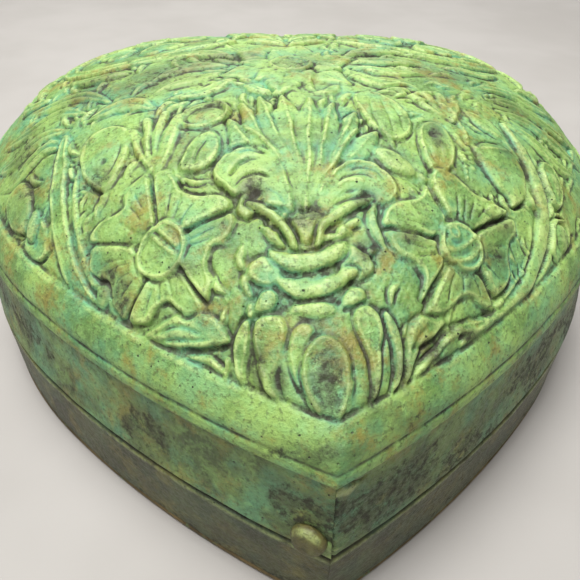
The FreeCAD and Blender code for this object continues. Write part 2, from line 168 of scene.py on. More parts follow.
def half_outline(inset=0.0, steps=(220, 180, 300)):
    """Points of the right half from tip to cleft, and the outward direction at each."""
    side = (*SIDE_ARC[:2], SIDE_ARC[2] - inset)
    lobe = (*LOBE_ARC[:2], LOBE_ARC[2] - inset)
    flank = FLANK_RADIUS - inset
    fx, fy = flank_centre(side, flank, lobe)
    angles = (-math.acos(-side[0] / side[2]), math.atan2(fy - side[1], fx - side[0]),
              math.atan2(lobe[1] - fy, lobe[0] - fx), math.pi - math.acos(lobe[0] / lobe[2]))
    points, outward = [], []
    for arc, first, last, count in zip((side, (fx, fy, flank), lobe), angles, angles[1:], steps):
        turn = np.linspace(first, last, count + 1)[1 if points else 0:]
        out = np.c_[np.cos(turn), np.sin(turn)]
        points.append(np.array(arc[:2]) + arc[2] * out)
        outward.append(out)
    return np.vstack(points), np.vstack(outward)


class Dome:
    """The smooth pillow under the relief: rings of the outline, rounder towards the crown."""

    ANGLES = 720
    LEVELS = 32
    ROUNDING = 20.0        # degrees over which a ring halfway up is smoothed

    def __init__(self):
        self.rise = CROWN - SHOULDER - RELIEF_ROOM
        edge = half_outline(DOME_INSET)[0] - [0, DOME_CENTRE_Y]
        turn = np.arctan2(edge[:, 0], -edge[:, 1])
        self.turns = np.linspace(0, math.pi, self.ANGLES + 1)
        radius = np.interp(self.turns, turn, np.hypot(edge[:, 0], edge[:, 1]))
        waves = np.fft.rfft(np.concatenate([radius, radius[-2:0:-1]]))
        order = np.arange(len(waves))
        rings = []
        for level in np.linspace(0, 1, self.LEVELS + 1):
            spread = math.radians(self.ROUNDING) * min(1.0, level / 0.5)
            blurred = np.fft.irfft(waves * np.exp(-0.5 * (order * spread) ** 2), 2 * self.ANGLES)
            rings.append(blurred[: self.ANGLES + 1])
        self.rings = np.array(rings)
        sizes = 1 - (1 - np.linspace(0, 1, 401)) ** 1.5
        reach = self.ring_radius(sizes[None, :] + 0 * self.turns[:, None],
                                 self.turns[:, None] + 0 * sizes[None, :]) * sizes
        steps = np.hypot(np.diff(reach, axis=1), np.diff(self.height(sizes)))
        unrolled = np.concatenate([np.zeros((len(steps), 1)), np.cumsum(steps, axis=1)], axis=1)
        self.unrolled_edge = unrolled[:, -1]
        shares = np.linspace(0, 1, 801)
        self.size_table = np.array([np.interp(shares, row / row[-1], sizes) for row in unrolled])

    def ring_radius(self, size, turn):
        """Plan radius of a full-size ring of the kind found at this size, in this direction."""
        level = np.clip(1 - size, 0, 1) * self.LEVELS
        i = np.minimum(level.astype(int), self.LEVELS - 1)
        a = level - i
        place = turn / math.pi * self.ANGLES
        j = np.minimum(place.astype(int), self.ANGLES - 1)
        b = place - j
        low = self.rings[i, j] * (1 - b) + self.rings[i, j + 1] * b
        high = self.rings[i + 1, j] * (1 - b) + self.rings[i + 1, j + 1] * b
        return low * (1 - a) + high * a

    def height(self, size):
        return SHOULDER + self.rise * np.clip(1 - size**SIZE_POWER, 0, None) ** RISE_POWER

    def edge_at(self, turn):
        """Unrolled distance from the centre to the edge."""
        return np.interp(turn, self.turns, self.unrolled_edge)

    def place(self, turn, share):
        """Position on the sheet for a direction from -pi to pi and a share of the way to the edge."""
        a = np.abs(turn) / math.pi * self.ANGLES
        i = np.minimum(a.astype(int), self.ANGLES - 1)
        fa = a - i
        b = np.clip(share, 0, 1) * (self.size_table.shape[1] - 1)
        j = np.minimum(b.astype(int), self.size_table.shape[1] - 2)
        fb = b - j
        table = self.size_table
        size = ((table[i, j] * (1 - fb) + table[i, j + 1] * fb) * (1 - fa)
                + (table[i + 1, j] * (1 - fb) + table[i + 1, j + 1] * fb) * fa)
        reach = size * self.ring_radius(size, np.abs(turn))
        return np.stack([reach * np.sin(turn), DOME_CENTRE_Y - reach * np.cos(turn), self.height(size)], -1)


# ---------------------------------------------------------------- relief

class Relief:
    """A height map over scattered points (u, v), built up motif by motif, in millimetres."""

    def __init__(self, u, v):
        shift_u = 0.28 * value_noise(u, v, 5.0, 31) + 0.12 * value_noise(u, v, 1.5, 33)
        shift_v = 0.28 * value_noise(u, v, 5.0, 32) + 0.12 * value_noise(u, v, 1.5, 34)
        self.points = np.c_[u + shift_u, v + shift_v]
        self.height = np.zeros(len(u))
        self.bite = 0.25 + 0.9 * smooth(-0.25, 0.55, value_noise(u, v, 4.5, 37))

    def near(self, path, reach):
        """The points in the box round a path."""
        low, high = path.min(0) - reach, path.max(0) + reach
        return np.flatnonzero(((self.points >= low) & (self.points <= high)).all(1))

    def lay(self, near, inward, body, groove):
        """Puts a raised body where inward is above 0, with soft edges and a chased line outside.

        bite makes that line strong in some places and worn away in others.
        """
        mask = smooth(-0.30, 0.55, inward)
        outside = np.exp(-(((inward + 0.22) / 0.20) ** 2))
        old = self.height[near]
        self.height[near] = old * (1 - mask) + body * mask - groove * outside * self.bite[near]

    def stroke(self, points, widths, rise, lift=0.2, form="round", groove=0.3, keel=0.0):
        """A raised shape along a curve.

        widths are half-widths, spread evenly along the curve. form is round, flat (a soft plate) or
        gutter (a raised line along each side). keel raises or, if negative, cuts a line down the middle.
        """
        path = curve_through(points)
        near = self.near(path, max(widths) + 1.2)
        if not len(near):
            return
        dist, share, _ = nearest_on(path, self.points[near])
        half = np.interp(share, np.linspace(0, 1, len(widths)), widths)
        inward = half - dist
        across = np.clip(dist / np.maximum(half, 0.05), 0, 1)
        thin = smooth(0.0, 0.8, half)
        if form == "round":
            body = rise * np.clip(1 - across**2, 0, 1) ** 0.6
        elif form == "flat":
            body = rise * (1 - np.exp(-np.clip(inward, 0, None) / 0.7))
        else:
            body = rise * np.exp(-(((inward - 0.32) / 0.28) ** 2)) + 0.1 * rise
        body = lift * thin + body * (0.3 + 0.7 * thin) + keel * np.exp(-((dist / 0.30) ** 2)) * thin
        self.lay(near, inward, body, groove * smooth(0.02, 0.3, half))

    def plate(self, outline, rise, lift=0.25, soft=1.3, rim=0.16, groove=0.4):
        """A raised closed shape: a soft swelling with a fine raised line just inside its edge."""
        loop = curve_through(outline, closed=True)
        near = self.near(loop, 1.2)
        dist = nearest_on(loop, self.points[near])[0]
        inward = np.where(inside_loop(loop, self.points[near]), dist, -dist)
        depth = np.clip(inward, 0, None)
        body = lift + rise * (1 - np.exp(-depth / soft)) + rim * np.exp(-(((depth - 0.38) / 0.24) ** 2))
        self.lay(near, inward, body, groove)

    def cut(self, points, half=0.22, depth=0.4):
        """A chased line, thinning out at both ends."""
        path = curve_through(points)
        near = self.near(path, half * 4)
        dist, share, _ = nearest_on(path, self.points[near])
        ends = smooth(0, 0.15, share) * smooth(0, 0.15, 1 - share)
        self.height[near] -= depth * np.exp(-((dist / half) ** 2)) * (0.35 + 0.65 * ends)

    def ridge(self, points, half=0.26, rise=0.4):
        """A fine raised line."""
        path = curve_through(points)
        near = self.near(path, half * 4)
        dist, share, _ = nearest_on(path, self.points[near])
        ends = smooth(0, 0.1, share) * smooth(0, 0.1, 1 - share)
        self.height[near] += rise * np.exp(-((dist / half) ** 2)) * ends

    def step(self, points, rise=0.5, reach=2.2):
        """A fold: the sheet stands up on the left of the line and dips under on its right."""
        path = curve_through(points)
        near = self.near(path, reach * 2)
        dist, share, side = nearest_on(path, self.points[near])
        ends = smooth(0, 0.08, share) * smooth(0, 0.08, 1 - share)
        up = rise * np.exp(-((dist / reach) ** 2)) * smooth(-0.12, 0.12, dist * side)
        down = (0.5 * np.exp(-((dist / 0.5) ** 2)) + 0.3 * np.exp(-((dist / reach) ** 2))) * rise
        self.height[near] += (up - down * smooth(-0.12, 0.12, -dist * side)) * ends

    def beads(self, points, gap=0.95, radius=0.42, rise=0.35):
        """A row of small punched beads."""
        path = curve_through(points)
        run = np.concatenate([[0], np.cumsum(np.hypot(*np.diff(path, axis=0).T))])
        for at in np.arange(gap / 2, run[-1], gap):
            centre = np.array([np.interp(at, run, path[:, 0]), np.interp(at, run, path[:, 1])])
            near = self.near(centre[None, :], radius * 1.6)
            dist = np.hypot(*(self.points[near] - centre).T)
            self.height[near] += rise * np.sqrt(np.clip(1 - (dist / radius) ** 2, 0, 1))

    def oval(self, centre, radii, tilt=0.0, rise=0.8, lift=0.25, form="round", groove=0.35):
        """A raised oval; form is round, or dish for a raised rim round a hollow."""
        near = self.near(np.array([centre], float), max(radii) + 1.5)
        rel = self.points[near] - centre
        turn = math.radians(tilt)
        along = rel[:, 0] * math.cos(turn) + rel[:, 1] * math.sin(turn)
        up = -rel[:, 0] * math.sin(turn) + rel[:, 1] * math.cos(turn)
        far = np.hypot(along / radii[0], up / radii[1])
        inward = (1 - far) * min(radii)
        if form == "round":
            body = rise * np.clip(1 - far**2, 0, 1) ** 0.7
        else:
            body = rise * np.maximum(np.exp(-(((inward - 0.45) / 0.32) ** 2)),
                                     0.4 * smooth(0.7, 1.6, inward))
        self.lay(near, inward, lift + body, groove)

    def dent(self, centre, radius, depth):
        """A small punched hollow."""
        near = self.near(np.array([centre], float), radius * 2.5)
        dist = np.hypot(*(self.points[near] - centre).T)
        self.height[near] -= depth * np.exp(-((dist / radius) ** 2))


def between(a, b, share):
    """The point this share of the way from a to b."""
    return (a[0] * (1 - share) + b[0] * share, a[1] * (1 - share) + b[1] * share)


def draw_border(relief, edge_distance):
    """The rounded roll round the lid's edge, with a thin flat strip outside it and a groove inside."""
    strip, roll_middle, roll_half = 1.8, 4.8, 2.9
    roll = np.clip(1 - ((edge_distance - roll_middle) / roll_half) ** 2, 0, 1) ** 0.6
    relief.height += 0.50 * roll
    away = smooth(3.0, 16.0, np.abs(relief.points[:, 0]))
    relief.height -= 0.08 * away * np.exp(-(((edge_distance - strip) / 0.24) ** 2))
    relief.height -= 0.14 * np.exp(-(((edge_distance - roll_middle - roll_half) / 0.40) ** 2))
    relief.height += 0.07 * np.exp(-(((edge_distance - roll_middle - roll_half + 0.7) / 0.40) ** 2))
    relief.height += 0.08 * np.exp(-(((edge_distance - strip + 0.75) / 0.40) ** 2))


def draw_lotus(relief):
    """The bulb at the front: curled petals from the outside in, then the pointed oval in the middle."""
    fingers = [
        [(-9.0, -55.4), (-10.6, -53.0), (-11.4, -50.2), (-11.2, -47.6), (-9.8, -45.8), (-8.8, -46.8),
         (-9.4, -49.0),
         (-9.9, -51.6), (-9.5, -53.8)],
        [(7.2, -55.4), (8.3, -52.8), (8.7, -50.0), (8.3, -47.2), (7.2, -45.6), (6.7, -46.8), (7.2, -49.4),
         (7.5, -52.4)],
        [(-5.9, -56.3), (-7.6, -53.8), (-8.5, -50.6), (-8.9, -48.0), (-8.4, -46.1), (-7.0, -45.5),
         (-5.6, -46.2),
         (-5.1, -47.8), (-5.7, -50.0), (-6.6, -52.4), (-6.4, -54.6)],
        [(4.6, -56.2), (5.6, -53.2), (5.7, -50.4), (6.4, -47.8), (5.9, -45.8), (4.4, -45.0), (3.0, -45.8),
         (2.8, -47.6),
         (3.6, -49.8), (4.4, -52.0), (4.5, -54.4)],
        [(-2.6, -56.6), (-4.2, -53.6), (-5.2, -50.6), (-4.8, -48.2), (-3.4, -47.0), (-2.0, -47.6),
         (-2.6, -49.4),
         (-3.6, -51.4), (-3.6, -54.0)],
    ]
    relief.plate([(-0.2, -59.4), (-6.4, -57.6), (-10.4, -53.6), (-11.4, -49.4), (-10.0, -46.2),
                  (-5.0, -45.4),
                  (-1.4, -46.4), (3.0, -45.4), (7.0, -45.8), (8.6, -49.4), (8.0, -54.4), (4.8, -57.8)],
                 0.55, lift=0.15, soft=2.6, rim=0.0, groove=0.25)
    for outline in fingers:
        relief.plate(outline, 0.50, lift=0.55, soft=0.9, rim=0.22, groove=0.5)
    for line in ([(0.2, -59.5), (3.4, -57.6), (6.2, -56.4)], [(0.8, -58.9), (3.2, -57.2), (4.8, -56.0)],
                 [(-9.0, -55.2), (-10.5, -53.2), (-11.3, -50.4)],
                 [(-5.9, -56.4), (-7.2, -54.2), (-7.8, -51.4)],
                 [(-1.7, -60.1), (0.2, -60.3), (1.8, -59.9)],
                 [(-12.4, -49.4), (-12.9, -52.0), (-12.8, -54.8)]):
        relief.ridge(line, 0.28, 0.45)
    middle = [(-0.2, -59.2), (-1.7, -57.5), (-2.9, -55.5), (-3.6, -53.0), (-3.4, -50.6), (-2.3, -48.9),
              (-0.9, -48.3),
              (0.7, -49.2), (1.8, -51.2), (2.1, -53.6), (1.6, -56.0), (0.7, -57.9)]
    relief.plate(middle, 0.15, lift=1.15, soft=0.5, rim=0.45, groove=0.65)
    relief.plate([between(point, (-0.8, -53.2), 0.30) for point in middle], 0.5, lift=0.95, soft=1.2,
                 rim=0.0, groove=0.1)


def draw_vase(relief):
    """Above the lotus: a pad, side lobes, two broad crescents with ears, and a small wedge on top."""
    relief.oval((-2.0, -45.6), (3.2, 1.3), rise=0.5, lift=0.35)
    relief.oval((-7.2, -44.0), (1.1, 1.9), tilt=-12, rise=0.8, lift=0.25)
    relief.oval((3.2, -44.2), (1.6, 1.3), tilt=30, rise=0.5, lift=0.25)
    relief.plate([(-5.6, -38.4), (-7.4, -38.2), (-8.9, -39.3), (-9.1, -40.9), (-7.7, -42.1), (-6.2, -42.2),
                  (-5.0, -41.2)],
                 0.5, lift=0.35, groove=0.5)
    relief.plate([(1.6, -38.4), (3.2, -37.5), (5.0, -38.6), (5.7, -40.0), (4.9, -41.4), (3.0, -42.2),
                  (1.4, -41.4)],
                 0.5, lift=0.35, groove=0.5)
    lower = [(-6.2, -41.0), (-5.4, -43.1), (-4.0, -44.2), (-1.9, -44.5), (0.5, -43.9), (2.4, -42.6),
             (3.6, -40.8),
             (2.2, -40.4), (0.4, -41.4), (-2.0, -41.8), (-4.4, -41.3)]
    upper = [(-6.6, -37.6), (-5.9, -39.8), (-4.4, -41.0), (-2.2, -41.3), (0.0, -40.8), (1.8, -39.5),
             (2.8, -37.2),
             (1.2, -37.2), (-0.6, -38.2), (-2.6, -38.5), (-4.8, -38.0)]
    relief.plate(lower, 0.85, lift=0.2, soft=1.0, rim=0.0, groove=0.6)
    relief.plate(upper, 0.95, lift=0.3, soft=1.0, rim=0.0, groove=0.6)
    relief.plate([(-3.7, -33.3), (-1.8, -33.0), (0.3, -33.3), (-0.8, -35.5), (-2.0, -37.4), (-3.0, -35.8)],
                 0.5, lift=0.5, soft=0.8, groove=0.4)
    relief.cut([(-3.9, -33.4), (-1.8, -33.7), (0.3, -33.4)], 0.42, 0.7)


def draw_handles(relief):
    """The two scrolled leaves: each sweeps up from the wedge, curls over and ends in a dark hollow."""
    relief.plate([(-3.2, -32.6), (-3.7, -29.0), (-4.6, -25.6), (-5.6, -23.2), (-7.6, -21.6), (-10.2, -21.2),
                  (-12.2, -22.5), (-13.1, -24.6), (-12.7, -26.8), (-11.2, -28.8), (-10.1, -30.2),
                  (-10.3, -32.0),
                  (-9.4, -33.2), (-8.0, -32.7), (-6.6, -32.0), (-4.8, -32.2)],
                 0.75, lift=0.25, soft=1.8, rim=0.25, groove=0.5)
    relief.plate([(-0.2, -32.0), (0.6, -29.4), (1.6, -27.2), (3.2, -25.5), (5.2, -24.8), (7.4, -24.9),
                  (9.0, -26.0),
                  (10.2, -27.8), (10.2, -29.8), (9.0, -31.4), (7.2, -31.9), (5.4, -31.9), (3.0, -32.6),
                  (1.2, -33.2)],
                 0.75, lift=0.25, soft=1.8, rim=0.25, groove=0.5)
    for crease, depth in (([(-11.1, -26.4), (-10.3, -24.9), (-8.9, -24.0), (-7.2, -24.3)], 0.45),
                          ([(-10.4, -28.2), (-9.6, -27.1), (-7.8, -26.6), (-5.8, -27.6)], 0.4),
                          ([(-9.9, -22.4), (-8.2, -22.2), (-6.6, -23.2)], 0.45),
                          ([(-6.4, -29.4), (-5.0, -30.6), (-4.2, -32.0)], 0.3),
                          ([(2.4, -28.9), (3.8, -27.5), (5.8, -27.1), (7.4, -28.0)], 0.45),
                          ([(3.6, -26.9), (5.4, -26.1), (7.6, -26.6), (8.8, -28.4)], 0.35),
                          ([(2.2, -31.2), (3.6, -29.9), (5.2, -29.4)], 0.3),
                          ([(4.6, -31.8), (5.4, -32.4), (6.2, -32.4)], 0.5),
                          ([(6.6, -31.9), (7.6, -31.5), (8.8, -31.3)], 0.5)):
        relief.cut(crease, 0.22, depth)
    relief.stroke([(-8.8, -31.0), (-6.8, -32.6), (-5.0, -34.2), (-3.9, -36.0), (-3.4, -37.8)],
                  (0.4, 0.7, 0.8, 0.7, 0.4),
                  0.7, lift=0.45, groove=0.5)
    relief.stroke([(6.4, -30.8), (4.0, -32.0), (1.6, -33.6), (0.0, -35.2), (-0.8, -37.6)],
                  (0.4, 0.7, 0.8, 0.7, 0.4),
                  0.7, lift=0.45, groove=0.5)
    relief.stroke([(-7.4, -34.6), (-6.0, -35.6), (-5.0, -37.2)], (0.4, 0.9, 0.4), 0.45, lift=0.25,
                  groove=0.35)
    relief.stroke([(4.4, -34.2), (2.6, -35.6), (1.4, -37.0)], (0.5, 0.9, 0.4), 0.45, lift=0.25, groove=0.35)
    relief.stroke([(6.7, -31.8), (6.3, -34.0), (6.6, -36.0), (7.6, -37.6)], (0.5, 0.7, 0.7, 0.3), 0.5,
                  lift=0.3, groove=0.35)
    relief.dent((-8.0, -29.8), 1.1, 0.95)
    relief.dent((-10.0, -29.7), 0.45, 0.6)
    relief.dent((6.1, -30.0), 0.9, 0.8)
    relief.dent((3.8, -30.0), 0.6, 0.35)


def draw_fan(relief):
    """Long leaves that fan out above the wedge, each with a raised line down the middle, and a fine raised
    line along each side of the fan.
    """
    root = (-1.7, -32.6)
    tips = [(-11.2, -15.4), (8.8, -18.6), (-9.4, -11.6), (6.4, -14.6), (-6.6, -9.8), (3.4, -12.2),
            (-3.4, -9.6), (0.2, -10.6)]
    for tip in tips:
        relief.stroke([root, between(root, tip, 0.55), tip], (0.3, 0.6, 1.15, 1.6, 1.7, 0.4), 0.32,
                      lift=0.3,
                      form="round", groove=0.4, keel=0.28)
    relief.ridge([(-3.0, -32.2), (-3.9, -29.0), (-4.9, -24.6), (-6.8, -20.2), (-9.6, -16.4)], 0.34, 0.5)
    relief.ridge([(-0.2, -32.0), (0.8, -29.0), (2.6, -24.6), (4.6, -20.8), (7.2, -17.6)], 0.34, 0.5)


def draw_flower(relief, centre, petals, disc, folds, strokes):
    """A flower of five broad notched petals round a rimmed disc, with hard folds between the petals."""
    for outline in petals:
        relief.plate(outline, 0.40, lift=0.35, soft=1.0, rim=0.26, groove=0.5)
    for line in folds:
        relief.step(line, 0.45, 2.0)
        relief.cut(line, 0.2, 0.35)
    for line in strokes:
        relief.cut(line, 0.2, 0.34)
    relief.oval(centre, disc, rise=0.5, lift=0.8, form="dish", groove=0.5)


def draw_flowers(relief):
    """The two big flowers."""
    draw_flower(
        relief, (-20.4, -34.6),
        [[(-23.6, -32.6), (-30.8, -29.8), (-31.8, -28.4), (-30.0, -27.0), (-27.8, -26.8), (-26.0, -26.4),
          (-25.8, -24.6),
          (-24.2, -22.9), (-22.2, -22.6), (-21.5, -26.0), (-21.3, -31.6)],
         [(-21.0, -31.6), (-21.3, -26.4), (-21.2, -23.0), (-19.6, -22.5), (-18.2, -24.2), (-17.4, -26.6),
          (-15.0, -28.2),
          (-12.4, -28.8), (-11.0, -30.2), (-11.6, -31.6), (-17.6, -32.8)],
         [(-17.2, -33.4), (-11.6, -31.9), (-10.6, -33.2), (-11.4, -35.2), (-13.2, -36.0), (-14.0, -37.8),
          (-13.6, -40.2),
          (-14.6, -42.4), (-16.6, -39.6), (-18.2, -37.0)],
         [(-18.6, -37.4), (-15.2, -42.6), (-16.6, -43.7), (-18.6, -42.9), (-20.3, -41.6), (-21.8, -41.9),
          (-23.2, -43.2),
          (-25.0, -43.1), (-26.2, -42.0), (-22.8, -38.0)],
         [(-23.2, -37.4), (-26.6, -41.6), (-28.2, -40.2), (-28.8, -37.8), (-29.2, -35.8), (-31.2, -34.8),
          (-32.2, -32.6),
          (-31.2, -30.2), (-24.2, -33.0)]],
        (3.7, 3.9),
        [[(-23.8, -32.4), (-27.4, -31.2), (-31.2, -29.6)], [(-21.3, -31.0), (-21.5, -27.0), (-21.8, -23.0)],
         [(-17.6, -33.0), (-14.6, -32.4), (-11.4, -31.7)], [(-18.2, -36.8), (-16.4, -39.8), (-14.6, -42.6)],
         [(-22.8, -37.8), (-24.6, -40.0), (-26.4, -42.0)]],
        [[(-29.8, -33.6), (-27.8, -33.4), (-25.8, -33.8)], [(-29.0, -34.8), (-27.2, -34.3), (-25.4, -34.6)],
         [(-27.6, -36.4), (-26.4, -35.9), (-25.0, -35.9)], [(-24.2, -25.2), (-23.6, -26.4), (-22.9, -27.8)],
         [(-25.0, -26.6), (-24.2, -27.8), (-23.3, -29.4)], [(-26.6, -28.4), (-25.2, -29.6), (-24.0, -30.8)],
         [(-18.8, -26.4), (-19.2, -28.0), (-19.8, -30.0)], [(-17.4, -27.6), (-18.0, -29.2), (-18.8, -30.8)],
         [(-15.6, -29.2), (-16.8, -30.4), (-17.8, -31.6)], [(-12.8, -33.6), (-14.6, -33.9), (-16.6, -34.3)],
         [(-13.4, -35.0), (-15.0, -35.0), (-16.8, -35.2)], [(-19.2, -41.2), (-19.6, -40.0), (-19.9, -38.8)],
         [(-21.4, -41.2), (-21.2, -40.0), (-21.0, -38.9)], [(-23.6, -42.2), (-22.8, -40.6), (-22.0, -39.2)],
         [(-27.2, -38.8), (-26.0, -37.8), (-24.8, -37.0)]],
    )
    relief.ridge([(-22.0, -32.0), (-20.6, -33.6), (-18.4, -35.8)], 0.3, 0.35)
    relief.ridge([(-20.9, -31.6), (-19.6, -33.0), (-17.9, -34.8)], 0.3, 0.35)
    relief.cut([(-21.5, -31.7), (-20.1, -33.3), (-18.1, -35.4)], 0.22, 0.35)
    relief.oval((-22.2, -34.4), (0.95, 0.95), rise=0.25, lift=1.0, groove=0.3)
    relief.dent((-22.2, -34.4), 0.4, 0.3)
    draw_flower(
        relief, (18.6, -35.5),
        [[(17.4, -32.0), (15.2, -28.6), (15.7, -25.6), (16.8, -24.2), (19.0, -24.2), (20.6, -25.4),
          (22.4, -26.6),
          (25.0, -26.9), (27.8, -28.0), (24.2, -30.6), (20.6, -32.7)],
         [(21.2, -33.2), (24.8, -30.9), (28.2, -28.6), (29.0, -30.6), (27.5, -32.6), (27.1, -34.8),
          (27.5, -37.0),
          (26.6, -39.3), (24.4, -40.6), (22.0, -38.2)],
         [(21.0, -38.6), (23.6, -41.2), (23.6, -42.5), (21.8, -42.9), (20.0, -42.1), (18.4, -42.3),
          (17.0, -43.5),
          (15.0, -45.0), (12.6, -45.2), (14.4, -41.6), (16.4, -38.8)],
         [(15.8, -38.6), (13.8, -41.6), (11.8, -43.8), (12.4, -40.6), (11.2, -39.3), (9.0, -38.6),
          (8.0, -36.4),
          (8.4, -35.3), (14.6, -35.9)],
         [(14.6, -34.9), (8.4, -34.7), (8.0, -33.0), (9.2, -31.4), (11.4, -30.6), (13.4, -29.4),
          (14.6, -27.4),
          (15.6, -29.6), (16.8, -32.0)]],
        (3.8, 3.5),
        [[(27.6, -28.7), (24.2, -30.8), (20.8, -32.8)], [(14.8, -35.4), (11.6, -34.9), (8.2, -34.9)],
         [(16.4, -38.6), (14.6, -41.4), (12.6, -44.6)], [(22.0, -38.2), (23.2, -39.8), (24.4, -41.0)],
         [(15.2, -26.6), (16.0, -29.2), (17.0, -31.6)]],
        [[(18.8, -27.8), (18.7, -29.6), (18.5, -31.4)], [(20.2, -27.8), (19.9, -29.6), (19.4, -31.4)],
         [(21.6, -28.0), (21.0, -29.6), (20.4, -31.2)], [(24.2, -28.2), (23.0, -29.2), (21.8, -30.6)],
         [(26.2, -33.2), (24.6, -33.6), (23.0, -34.0)], [(26.2, -34.8), (24.6, -35.0), (23.0, -35.2)],
         [(25.6, -38.2), (24.0, -37.4), (22.6, -36.6)], [(21.6, -41.6), (20.8, -40.4), (20.2, -39.4)],
         [(18.4, -41.6), (18.4, -40.4), (18.4, -39.4)], [(15.8, -43.4), (16.4, -41.4), (17.2, -39.6)],
         [(10.2, -36.9), (12.2, -37.0), (14.2, -36.8)], [(11.6, -38.4), (13.2, -38.0), (14.8, -37.4)],
         [(9.8, -33.2), (12.0, -33.6), (14.2, -33.9)], [(12.0, -31.6), (13.6, -32.2), (15.2, -33.0)]],
    )
    relief.oval((17.3, -33.8), (1.25, 1.25), rise=0.35, lift=0.95, form="dish", groove=0.3)
    for line in ([(15.4, -36.8), (17.8, -36.2), (19.6, -34.8), (21.2, -32.9)],
                 [(16.4, -38.0), (18.4, -37.5), (20.4, -36.2), (21.8, -34.4)]):
        relief.ridge(line, 0.32, 0.38)
    relief.oval((25.0, -28.6), (1.6, 1.0), tilt=10, rise=0.35, lift=0.7, form="dish", groove=0.4)


def draw_frames(relief):
    """The long bands that frame each flower, from the shoulders down to the leaves by the lotus."""
    relief.stroke([(-36.8, -8.0), (-37.4, -14.0), (-37.6, -20.0), (-37.3, -26.0), (-36.4, -31.0),
                   (-34.4, -35.6),
                   (-31.4, -39.8), (-28.0, -43.2), (-24.0, -46.4), (-20.6, -49.2)],
                  (0.7, 1.3, 1.45, 1.5, 1.5, 1.5, 1.4, 1.2, 0.8, 0.3), 0.42, lift=0.2, form="gutter",
                  groove=0.4)
    relief.stroke([(-33.9, -16.4), (-34.4, -20.0), (-34.2, -26.0), (-33.4, -30.4), (-31.6, -34.8),
                   (-28.8, -38.8),
                   (-26.0, -42.0)], (0.3, 0.5, 0.6, 0.6, 0.6, 0.5, 0.3), 0.35, lift=0.15, groove=0.3)
    relief.cut([(-33.0, -41.6), (-28.4, -44.9), (-24.4, -47.9), (-20.4, -50.6)], 0.26, 0.5)
    relief.stroke([(31.4, -9.4), (33.6, -14.0), (35.2, -18.0), (35.7, -23.0), (35.1, -28.0), (33.7, -33.0),
                   (31.1, -38.0),
                   (27.4, -42.2), (22.6, -45.4), (17.6, -48.4), (12.8, -53.6)],
                  (0.6, 1.2, 1.5, 1.5, 1.5, 1.5, 1.5, 1.4, 1.0, 0.5, 0.2), 0.75, lift=0.25, groove=0.3)
    relief.cut([(35.0, -14.4), (37.0, -20.0), (37.2, -25.0), (36.0, -31.0), (33.2, -37.4), (29.2, -42.6),
                (24.0, -46.8),
                (18.4, -49.0)], 0.42, 0.85)
    relief.ridge([(35.8, -13.0), (38.0, -19.4), (38.3, -25.0), (37.2, -31.0), (34.6, -36.8)], 0.4, 0.45)
    relief.ridge([(32.4, -27.0), (31.9, -32.0), (29.6, -36.6), (26.6, -40.4), (22.6, -43.2)], 0.32, 0.5)
    relief.ridge([(-33.6, -30.8), (-33.0, -33.4), (-31.6, -35.8)], 0.3, 0.35)
    relief.oval((-30.5, -37.6), (1.2, 1.7), tilt=-25, rise=0.4, lift=0.25, groove=0.4)
    for k in range(3):
        relief.cut([(-34.6, -20.6 - 0.9 * k), (-33.8, -20.2 - 0.9 * k), (-32.6, -20.6 - 0.9 * k)], 0.22,
                   0.35)
    relief.beads([(22.9, -13.6), (22.9, -18.0), (22.7, -22.6)], gap=1.0)
    relief.beads([(21.5, -19.0), (21.6, -21.6), (21.4, -24.0)], gap=0.9, radius=0.35)


